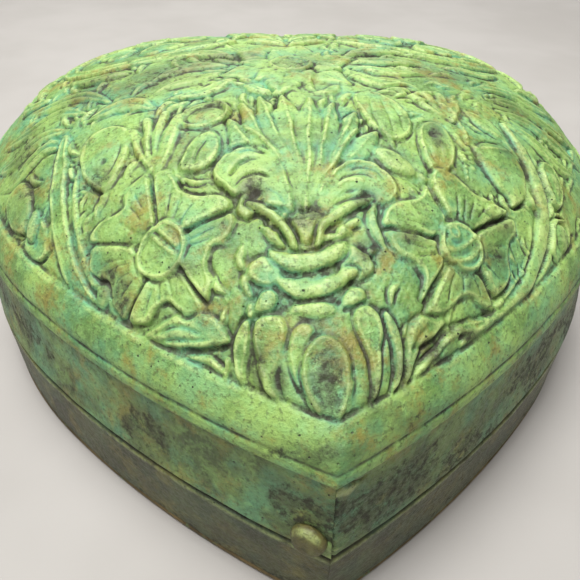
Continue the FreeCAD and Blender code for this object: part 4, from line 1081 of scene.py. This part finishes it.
def make_strip(name, node, slot, body, side, profile, shape, materials):
    """A bent wall strip for one half, from the tip to the cleft.

    profile is a closed loop of (inset, height, outside), and shape(along, height, side) gives how far
    the outside stands out, and the values the material reads for hollows, ridges and stains; these also
    carry painted shade, and the ridge value a painted highlight.
    """
    profile = np.array(profile, float)
    rows = []
    for inset, _, _ in profile:
        rows.append(half_outline(inset))
    outline = np.array([row[0] for row in rows])
    outward = rows[0][1]
    along = np.concatenate([[0], np.cumsum(np.hypot(*np.diff(outline[0], axis=0).T))])
    columns = len(along)
    heights = profile[:, 1:2] + np.zeros(columns)
    span = (profile[:, 1:2] - profile[:, 1].min()) / np.ptp(profile[:, 1])
    if body == "lid":
        heights = heights + shoulder_lift(outline[..., 1]) * span
    stand, hollow_and_shade, ridge, stain_and_shade = shape(along[None, :] + np.zeros_like(heights),
                                        profile[:, 1:2] + 0 * heights, side)
    stand = stand * profile[:, 2:3]
    points = np.dstack([outline + outward[None] * stand[..., None], heights])
    points[..., 0] = np.maximum(points[..., 0], 0.0) * side
    count = len(profile)
    faces = grid_faces(count, columns, flip=side < 0, wrap_rows=True)
    index = [0 if profile[i // (columns - 1)][2] or profile[(i // (columns - 1) + 1) % count][2] else 1
             for i in range(len(faces))]
    first = [i * columns for i in range(count)]
    last = [i * columns + columns - 1 for i in range(count)]
    if side > 0:
        last.reverse()
    else:
        first.reverse()
    faces += [first, last]
    index += [1, 1]
    outer = profile[:, 2:3] + 0 * heights
    attributes = {"hollow_and_shade": (hollow_and_shade * outer).ravel(), "ridge": (ridge * outer).ravel(),
                  "stain_and_shade": (stain_and_shade * outer).ravel()}
    piece = new_mesh(name, points.reshape(-1, 3), faces, body, materials, attributes, index)
    stand_for(piece, slot, node)


def loop_profile(low, high, outer_low, outer_high, thickness, lip, count):
    """A strip's section: a rounded outside from low to high, then straight down the inside."""
    turns = np.linspace(0, math.pi / 2, 5)
    share = np.linspace(0, 1, count)[1:-1]
    inset = outer_low + (outer_high - outer_low) * share
    section = [(outer_low + lip * (1 - math.sin(a)), low + lip * (1 - math.cos(a)), 1) for a in turns]
    section += [(i, low + lip + (high - low - 2 * lip) * t, 1) for i, t in zip(inset, share)]
    section += [(outer_high + lip * (1 - math.cos(a)), high - lip * (1 - math.sin(a)), 1) for a in turns]
    section += [(outer_high + thickness, high, 0),
                ((outer_low + outer_high) / 2 + thickness, (low + high) / 2, 0),
                (outer_low + thickness, low, 0)]
    return section


def lid_wall_shape(along, height, side):
    """Hand-worked sheet: slow waves and dents, a filed and cracked corner, soft lips above and below,
    painted shade on the right-hand wall and along the seam, and a painted highlight along the top lip.
    """
    seed = 40 if side > 0 else 60
    stand = -0.16 + 0.07 * rough(along, height * 1.2, 11.0, seed) + 0.03 * rough(along, height, 2.4,
                                                                                 seed + 5)
    middle = np.exp(-(((height - 19.0) / 3.4) ** 2))
    stand = stand - 0.16 * middle
    filed = np.exp(-((along / (3.4 if side < 0 else 1.8)) ** 2)) * smooth(24.4, 21.0, height)
    marks = value_noise(along * 0.18, height + 0.15 * along, 0.48, seed + 9)
    stand = stand + 0.15 * marks * filed
    crack, chip = np.zeros_like(along), np.zeros_like(along)
    if side > 0:
        line = 0.22 + 0.14 * np.sin(height * 0.9) + 0.10 * np.sin(height * 2.3 + 1.0)
        crack = np.exp(-(((along - line) / 0.26) ** 2)) * smooth(24.0, 23.0, height)
        fold = 24.75 - 0.10 * along + 0.25 * np.sin(along * 1.4)
        crack = np.maximum(crack, np.exp(-(((height - fold) / 0.20) ** 2)) * smooth(5.0, 3.5, along))
        chip = np.exp(-(((height - 23.7 - 0.3 * np.sin(along * 2.3)) / 0.7) ** 2)) * smooth(4.8, 2.0, along)
    stand = stand - 0.36 * crack + 0.10 * chip
    # The foot of the lid is pressed in and darkened there as painted shade along the seam.
    seam = smooth(13.9, 13.3, height)
    stand = stand - 0.45 * seam
    patches = smooth(-0.3, 0.4, rough(along, height, 7.0, seed + 13))
    # Painted shade on the right-hand wall, away from the tip and below the shoulder.
    right = 0.55 * (side > 0) * smooth(0, 14, along) * smooth(24.0, 19.0, height)
    stain_and_shade = np.clip(middle * patches + 0.5 * seam + right + 0.6 * filed + 0.25 * patches, 0, 1)
    hollow_and_shade = np.clip(crack + seam + 0.6 * np.clip(-marks, 0, 1) * filed, 0, 1)
    # A painted highlight along the top lip, by way of the ridge value.
    top = smooth(24.6, 25.2, height)
    ridge = np.clip(0.45 * top + 0.9 * filed * np.clip(marks, 0, 1) + 0.9 * chip, 0, 1)
    return stand, hollow_and_shade, ridge, stain_and_shade


def base_wall_shape(along, height, side):
    """The plain low wall: slow waves, a worn lip at the top, and painted shade towards the foot and in the
    gap under the lid.
    """
    seed = 80 if side > 0 else 95
    stand = -0.14 + 0.06 * rough(along, height * 1.2, 12.0, seed) + 0.03 * rough(along, height, 2.6,
                                                                                 seed + 5)
    # The band under the seam is pressed in and darkened as painted shade.
    gap = smooth(12.65, 12.95, height)
    lip = smooth(11.6, 12.3, height) * (1 - gap)
    # Painted shade towards the foot.
    foot = smooth(4.5, 1.2, height)
    filed = np.exp(-((along / 1.6) ** 2))
    marks = value_noise(along * 0.25, height, 0.42, seed + 9)
    stand = stand + 0.05 * marks * filed - 0.40 * gap
    patches = smooth(-0.2, 0.6, rough(along, height, 7.0, seed + 13))
    stain_and_shade = np.clip(0.55 * foot + 0.5 * patches * (1 - lip), 0, 1)
    return stand, np.clip(0.3 * foot + gap, 0, 1), 0.55 * lip, stain_and_shade


def make_floor_plate(material):
    """The bottom plate: a rounded edge just inside the walls' outside, flat above and below."""
    top = WALL_FOOT
    half = 0.5 * top
    turns = np.linspace(0.25, math.pi - 0.25, 7)
    edge = [(0.10 + half * (1 - math.sin(a)), half - half * math.cos(a)) for a in turns]
    rings = [(2.5, 0.0), *edge, (2.5, top)]
    loops = []
    for inset, height in rings:
        right = half_outline(inset, (60, 50, 80))[0]
        loop = np.vstack([right, right[-2:0:-1] * [-1, 1]])
        loops.append(np.c_[loop, np.full(len(loop), height)])
    around = len(loops[0])
    points = np.vstack([*loops, [[0, DOME_CENTRE_Y, 0], [0, DOME_CENTRE_Y, top]]])
    faces = grid_faces(len(rings), around, wrap_columns=True)
    low, high = len(points) - 2, len(points) - 1
    start = (len(rings) - 1) * around
    for i in range(around):
        j = (i + 1) % around
        faces += [[low, j, i], [high, start + i, start + j]]
    piece = new_mesh("base_floor_plate", points, faces, "base", [material])
    stand_for(piece, "base_metal", "base_floor")


def make_boss(material):
    """The thumb boss: a low rounded stud standing square on the leaning wall, with a painted highlight on
    the upper side of its rim and painted shade on its lower half and round its foot.
    """
    low, high = (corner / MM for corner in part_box("thumb_boss"))
    centre_z = (low.z + high.z) / 2 - 0.2
    inset = LID_LEAN * (centre_z - LID_FOOT) / (SHOULDER - LID_FOOT)
    path, outward = half_outline(inset)
    away = np.abs(path[:, 0] + (low.x + high.x) / 2 + 0.55)
    at = int(np.argmin(np.where(path[:, 1] < 0, away, 99.0)))
    out = np.array([-outward[at][0], outward[at][1], 0.14])
    out /= np.linalg.norm(out)
    across = np.cross([0, 0, 1.0], out)
    across /= np.linalg.norm(across)
    up = np.cross(out, across)
    foot = np.array([-path[at][0], path[at][1], centre_z]) - 0.25 * out
    profile = [(2.30, 0.0), (2.32, 0.30), (2.26, 0.62), (2.10, 0.92), (1.85, 1.18), (1.50, 1.36),
               (1.05, 1.46),
               (0.60, 1.47), (0.25, 1.45)]
    around = 48
    angles = np.arange(around) * 2 * math.pi / around
    rings, ridge, hollow_and_shade = [], [], []
    for radius, rise in profile:
        wave = 1 + 0.015 * np.sin(3 * angles + 0.6) + 0.012 * np.sin(5 * angles)
        ring = (foot + rise * out + radius * wave[:, None]
                * (np.cos(angles)[:, None] * across + np.sin(angles)[:, None] * up))
        rings.append(ring)
        # The upper side of the rim is pale: a painted highlight.
        ridge.append(np.clip(np.sin(angles) * 1.2, 0, 1) * smooth(0.4, 0.9, rise) * smooth(1.47, 1.2, rise))
        # Painted shade round the foot and over the lower half.
        hollow_and_shade.append(np.full(around, 1.0 if rise < 0.3 else 0.0) + 0.8 * np.clip(0.3 - np.sin(angles), 0,
                                                                                  1))
    points = np.vstack([*rings, [foot + 1.44 * out], [foot]])
    faces = grid_faces(len(profile), around, wrap_columns=True)
    start, cap = (len(profile) - 1) * around, len(points) - 2
    for i in range(around):
        j = (i + 1) % around
        faces += [[start + i, start + j, cap], [j, i, cap + 1]]
    attributes = {"ridge": np.append(np.concatenate(ridge), [0, 0]),
                  "hollow_and_shade": np.append(np.concatenate(hollow_and_shade), [0, 1])}
    piece = new_mesh("thumb_boss_stud", points, faces, "lid", [material], attributes)
    stand_for(piece, "boss_metal", "thumb_boss")


# ---------------------------------------------------------------- materials

class Paint:
    """A node material under construction. Sizes of patterns are in millimetres."""

    def __init__(self, name):
        self.material = bpy.data.materials.new(name)
        self.material.use_nodes = True
        self.tree = self.material.node_tree
        self.shader = self.tree.nodes["Principled BSDF"]
        self.place = self.node("ShaderNodeTexCoord").outputs["Object"]

    def node(self, kind, **settings):
        made = self.tree.nodes.new(kind)
        for key, value in settings.items():
            setattr(made, key, value)
        return made

    def put(self, socket, value):
        if isinstance(value, bpy.types.NodeSocket):
            self.tree.links.new(value, socket)
        elif isinstance(value, tuple):
            socket.default_value = (*value, 1.0)
        else:
            socket.default_value = value

    def noise(self, size, detail=4.0, roughness=0.6, shift=0.0, stretch=None):
        place = self.node("ShaderNodeMapping")
        self.put(place.inputs["Vector"], self.place)
        place.inputs["Location"].default_value = (shift, shift * 0.7, -shift * 0.4)
        place.inputs["Scale"].default_value = stretch or (1, 1, 1)
        made = self.node("ShaderNodeTexNoise")
        self.put(made.inputs["Vector"], place.outputs["Vector"])
        made.inputs["Scale"].default_value = 1000.0 / size
        made.inputs["Detail"].default_value = detail
        made.inputs["Roughness"].default_value = roughness
        return made.outputs["Fac"]

    def spots(self, size, radius):
        """1 inside small scattered round spots, 0 elsewhere."""
        made = self.node("ShaderNodeTexVoronoi")
        self.put(made.inputs["Vector"], self.place)
        made.inputs["Scale"].default_value = 1000.0 / size
        return self.band(made.outputs["Distance"], radius, radius * 0.5)

    def attribute(self, name):
        return self.node("ShaderNodeAttribute", attribute_name=name).outputs["Fac"]

    def math(self, operation, first, second=0.5, clamp=False):
        made = self.node("ShaderNodeMath", operation=operation, use_clamp=clamp)
        self.put(made.inputs[0], first)
        self.put(made.inputs[1], second)
        return made.outputs[0]

    def band(self, value, low, high, top=1.0):
        """value mapped from low..high to 0..top, with soft ends."""
        made = self.node("ShaderNodeMapRange", interpolation_type="SMOOTHSTEP")
        if low > high:
            low, high, bottom, top = high, low, top, 0.0
        else:
            bottom = 0.0
        self.put(made.inputs["Value"], value)
        made.inputs["From Min"].default_value = low
        made.inputs["From Max"].default_value = high
        made.inputs["To Min"].default_value = bottom
        made.inputs["To Max"].default_value = top
        return made.outputs["Result"]

    def mix(self, share, first, second):
        made = self.node("ShaderNodeMix", data_type="RGBA")
        self.put(made.inputs[0], share)
        self.put(made.inputs[6], first)
        self.put(made.inputs[7], second)
        return made.outputs[2]

    def finish(self, colour, roughness, height, depth_mm, metallic=0.0, specular=0.5):
        self.put(self.shader.inputs["Base Color"], colour)
        self.put(self.shader.inputs["Roughness"], roughness)
        self.shader.inputs["Metallic"].default_value = metallic
        self.shader.inputs["Specular IOR Level"].default_value = specular
        bump = self.node("ShaderNodeBump")
        bump.inputs["Strength"].default_value = 1.0
        bump.inputs["Distance"].default_value = depth_mm * MM
        self.put(bump.inputs["Height"], height)
        self.put(self.shader.inputs["Normal"], bump.outputs["Normal"])
        return self.material


DARK_OLIVE = (0.050, 0.062, 0.020)
BLACK_BROWN = (0.022, 0.020, 0.009)
OCHRE = (0.26, 0.21, 0.035)
TURQUOISE = (0.11, 0.40, 0.23)
MINT = (0.30, 0.53, 0.15)
PALE = (0.52, 0.64, 0.22)


def patina(name, dark, light, turquoise=0.8, ochre=0.6, grime=0.5, wear_and_highlight=0.8, gloss=0.42, bloom=0.7):
    """Verdigris over brass: greens in clouds, blue-green hollows, ochre and black stains, worn ridges. It
    also paints shade, near-black in crevices and dark olive where the stain value carries it, and a painted
    highlight where the ridge value carries one.
    """
    p = Paint(name)
    hollow_and_shade, ridge, stain_and_shade = (p.attribute(key) for key in ("hollow_and_shade", "ridge", "stain_and_shade"))
    clouds = p.noise(9.0, 7.0, 0.70)
    motes = p.noise(1.8, 6.0, 0.70, 3.1)
    fine = p.noise(0.55, 3.0, 0.6, 5.7)
    colour = p.mix(p.band(clouds, 0.40, 0.60), dark, light)
    colour = p.mix(p.band(motes, 0.44, 0.66, bloom), colour, MINT)
    blue = p.math("MULTIPLY", p.band(p.noise(7.0, 4.0, 0.6, 8.3), 0.42, 0.66), turquoise)
    blue = p.math("MULTIPLY", blue, p.math("MULTIPLY_ADD", hollow_and_shade, 0.9, clamp=True))
    colour = p.mix(blue, colour, TURQUOISE)
    rust = p.band(p.noise(5.5, 6.0, 0.70, 12.9), 0.50, 0.68, ochre)
    colour = p.mix(rust, colour, OCHRE)
    # Pale rubbed wear on the ridges; where the ridge value is a painted highlight, this paints it.
    worn_and_highlit = p.math("MULTIPLY", p.band(ridge, 0.15, 0.85, wear_and_highlight), p.band(motes, 0.30, 0.62))
    colour = p.mix(worn_and_highlit, colour, PALE)
    # Dark olive where the stain value is high, real stains and painted shade alike, and in a fine speckle.
    shade = p.math("MULTIPLY", stain_and_shade, p.band(motes, 0.34, 0.56))
    shade = p.math("MAXIMUM", p.math("MULTIPLY", shade, 0.8), p.band(fine, 0.52, 0.68, 0.55))
    colour = p.mix(shade, colour, DARK_OLIVE)
    patchy = p.noise(1.2, 8.0, 0.74, 17.7)
    need = p.math("SUBTRACT", 0.72 - 0.08 * grime, p.math("MULTIPLY", stain_and_shade, 0.18))
    need = p.math("SUBTRACT", need, p.math("MULTIPLY", hollow_and_shade, 0.08))
    black = p.math("SUBTRACT", patchy, need)
    black = p.band(black, -0.07, 0.10, 0.85)
    colour = p.mix(black, colour, BLACK_BROWN)
    # Painted shade: near-black in the crevices.
    crevice_shade = p.math("MULTIPLY", p.band(hollow_and_shade, 0.25, 1.0, 0.85),
                     p.band(p.noise(3.4, 4.0, 0.6, 31.0), 0.36, 0.58))
    colour = p.mix(crevice_shade, colour, BLACK_BROWN)
    pits = p.math("MULTIPLY", p.spots(1.3, 0.13), p.band(p.noise(5.0, 3.0, 0.5, 23.0), 0.46, 0.58))
    colour = p.mix(pits, colour, BLACK_BROWN)
    rough_level = p.math("SUBTRACT", p.band(fine, 0.2, 0.8, 0.25), p.math("MULTIPLY", worn_and_highlit, 0.25))
    rough_level = p.math("ADD", rough_level, p.math("MULTIPLY", black, 0.3))
    rough_level = p.math("ADD", rough_level, gloss, clamp=True)
    grain = p.math("ADD", p.math("MULTIPLY", fine, 0.35), p.math("MULTIPLY", motes, 0.65))
    grain = p.math("SUBTRACT", grain, p.math("MULTIPLY", pits, 0.6))
    return p.finish(colour, rough_level, grain, 0.45, specular=0.6)


def worn_brass(name, dark, light, gloss=0.38, metallic=0.75):
    """Handled brass: brown tarnish in clouds, fine scratches and scattered green specks."""
    p = Paint(name)
    clouds = p.noise(6.0, 6.0, 0.65)
    colour = p.mix(p.band(clouds, 0.38, 0.66), dark, light)
    green = p.band(p.noise(2.8, 6.0, 0.7, 4.4), 0.56, 0.68, 0.8)
    colour = p.mix(green, colour, (0.14, 0.26, 0.13))
    specks = p.band(p.noise(1.1, 4.0, 0.6, 9.1), 0.60, 0.72, 0.7)
    colour = p.mix(specks, colour, BLACK_BROWN)
    scratches = p.noise(0.5, 3.0, 0.5, 2.2, stretch=(1, 1, 9))
    rough_level = p.math("ADD", p.band(scratches, 0.3, 0.7, 0.28), gloss, clamp=True)
    height = p.math("ADD", p.math("MULTIPLY", scratches, 0.4), p.math("MULTIPLY", clouds, 0.6))
    return p.finish(colour, rough_level, height, 0.10, metallic=metallic)


def floor_paint():
    """A pale matt tabletop with the faintest mottling."""
    p = Paint("pale_floor")
    colour = p.mix(p.band(p.noise(60.0, 3.0), 0.3, 0.7), (0.38, 0.36, 0.335), (0.42, 0.40, 0.375))
    return p.finish(colour, 0.7, p.noise(1.5, 3.0), 0.02, specular=0.25)


def dress(node, material):
    """Gives a CAD node its finished material."""
    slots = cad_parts[node].material_slots
    for one in slots:
        one.link = "OBJECT"
        one.material = material


# ---------------------------------------------------------------- stage

def make_stage():
    mesh = bpy.data.meshes.new("floor")
    reach = 3.0
    mesh.from_pydata([(-reach, -reach, 0), (reach, -reach, 0), (reach, reach, 0), (-reach, reach, 0)], [],
                     [(0, 1, 2, 3)])
    floor = bpy.data.objects.new("floor", mesh)
    bpy.context.scene.collection.objects.link(floor)
    mesh.materials.append(floor_paint())


def aim(thing, place, target):
    thing.location = place
    direction = Vector(target) - Vector(place)
    thing.rotation_euler = direction.to_track_quat("-Z", "Y").to_euler()


def make_lights():
    """A big soft key from above, a broad fill from the front, a glint from behind and a pale room."""
    for name, place, size, power in (
        ("key", (-0.08, 0.0, 0.62), 0.30, 5.8), ("fill", (-0.20, -0.55, 0.35), 0.40, 0.8),
        ("glint", (0.02, 0.42, 0.36), 0.22, 0.7),
    ):
        data = bpy.data.lights.new(name, "AREA")
        data.size = size
        data.energy = power
        lamp = bpy.data.objects.new(name, data)
        bpy.context.scene.collection.objects.link(lamp)
        aim(lamp, place, (0, 0, 0.02))
    world = bpy.data.worlds.new("room")
    world.use_nodes = True
    world.node_tree.nodes["Background"].inputs["Color"].default_value = (1.0, 0.98, 0.95, 1.0)
    world.node_tree.nodes["Background"].inputs["Strength"].default_value = 0.24
    bpy.context.scene.world = world


def make_camera():
    """The photograph's point of view: close, above the tip, turned a little to the left and tilted."""
    turn, rise, roll = math.radians(-4.71), math.radians(40.23), math.radians(1.46)
    back = Vector((math.sin(turn) * math.cos(rise), -math.cos(turn) * math.cos(rise), math.sin(rise)))
    level = Vector((math.cos(turn), math.sin(turn), 0))
    above = back.cross(level)
    right = math.cos(roll) * level + math.sin(roll) * above
    up = -math.sin(roll) * level + math.cos(roll) * above
    data = bpy.data.cameras.new("camera")
    data.sensor_width = 36.0
    data.lens = 34.9
    data.clip_start = 0.005
    camera = bpy.data.objects.new("camera", data)
    bpy.context.scene.collection.objects.link(camera)
    place = Vector((-1.52, -13.23, 13.0)) * MM + back * 105.15 * MM
    axes = Matrix((right, up, back)).transposed().to_4x4()
    camera.matrix_world = Matrix.Translation(place) @ axes
    bpy.context.scene.camera = camera
    bpy.context.scene.view_settings.view_transform = "Standard"


# ---------------------------------------------------------------- build

lid_green = patina("lid_verdigris", (0.12, 0.24, 0.055), (0.29, 0.46, 0.11), ochre=0.8, wear_and_highlight=0.6)
wall_green = patina("lid_wall_verdigris", (0.058, 0.092, 0.026), (0.155, 0.24, 0.066), ochre=0.6,
                    grime=0.45,
                    bloom=0.35)
# The base's olive-brown patina, its colours also darkened to paint the shade that lies on the base.
base_olive_shaded = patina("base_olive_patina_shaded", (0.034, 0.034, 0.012), (0.072, 0.072, 0.025), turquoise=0.15,
                    ochre=0.4,
                    grime=0.6, wear_and_highlight=0.5, gloss=0.42, bloom=0.06)
boss_green = patina("boss_yellow_green", (0.040, 0.033, 0.010), (0.11, 0.095, 0.020), turquoise=0.1,
                    ochre=0.5, grime=0.3,
                    wear_and_highlight=0.4, gloss=0.42, bloom=0.05)
inside_brown = worn_brass("inside_tarnish", (0.10, 0.075, 0.035), (0.22, 0.16, 0.07), gloss=0.45,
                          metallic=0.45)
rim_brass = worn_brass("rim_brass", (0.20, 0.14, 0.055), (0.42, 0.30, 0.12))
solder_grey = worn_brass("solder_grey_green", (0.13, 0.14, 0.09), (0.24, 0.25, 0.17), gloss=0.5,
                         metallic=0.35)
hinge_brown = worn_brass("hinge_brown", (0.14, 0.10, 0.045), (0.32, 0.23, 0.10))
pin_wire = worn_brass("pin_wire", (0.26, 0.19, 0.08), (0.46, 0.34, 0.15), gloss=0.28)

make_dome(lid_green, inside_brown)
for side, word in ((1, "right"), (-1, "left")):
    make_strip(f"lid_side_{word}", f"lid_wall_{word}", "lid_metal", "lid", side,
               loop_profile(LID_FOOT, SHOULDER, 0.0, LID_LEAN, 1.2, 0.35, 96), lid_wall_shape,
               [wall_green, inside_brown])
    make_strip(f"base_side_{word}", f"base_wall_{word}", "base_metal", "base", side,
               loop_profile(WALL_FOOT, SEAM, 0.0, 0.0, 2.0, 0.30, 36), base_wall_shape,
               [base_olive_shaded, inside_brown])
make_floor_plate(inside_brown)
make_boss(boss_green)

for node in ("inner_rim_right", "inner_rim_left"):
    dress(node, rim_brass)
for node in ("base_tip_solder", "base_cleft_solder", "lid_tip_solder", "lid_cleft_solder"):
    dress(node, solder_grey)
for node in ("base_hinge_leaf", "lid_hinge_leaf"):
    dress(node, hinge_brown)
dress("hinge_pin", pin_wire)

make_stage()
make_lights()
make_camera()
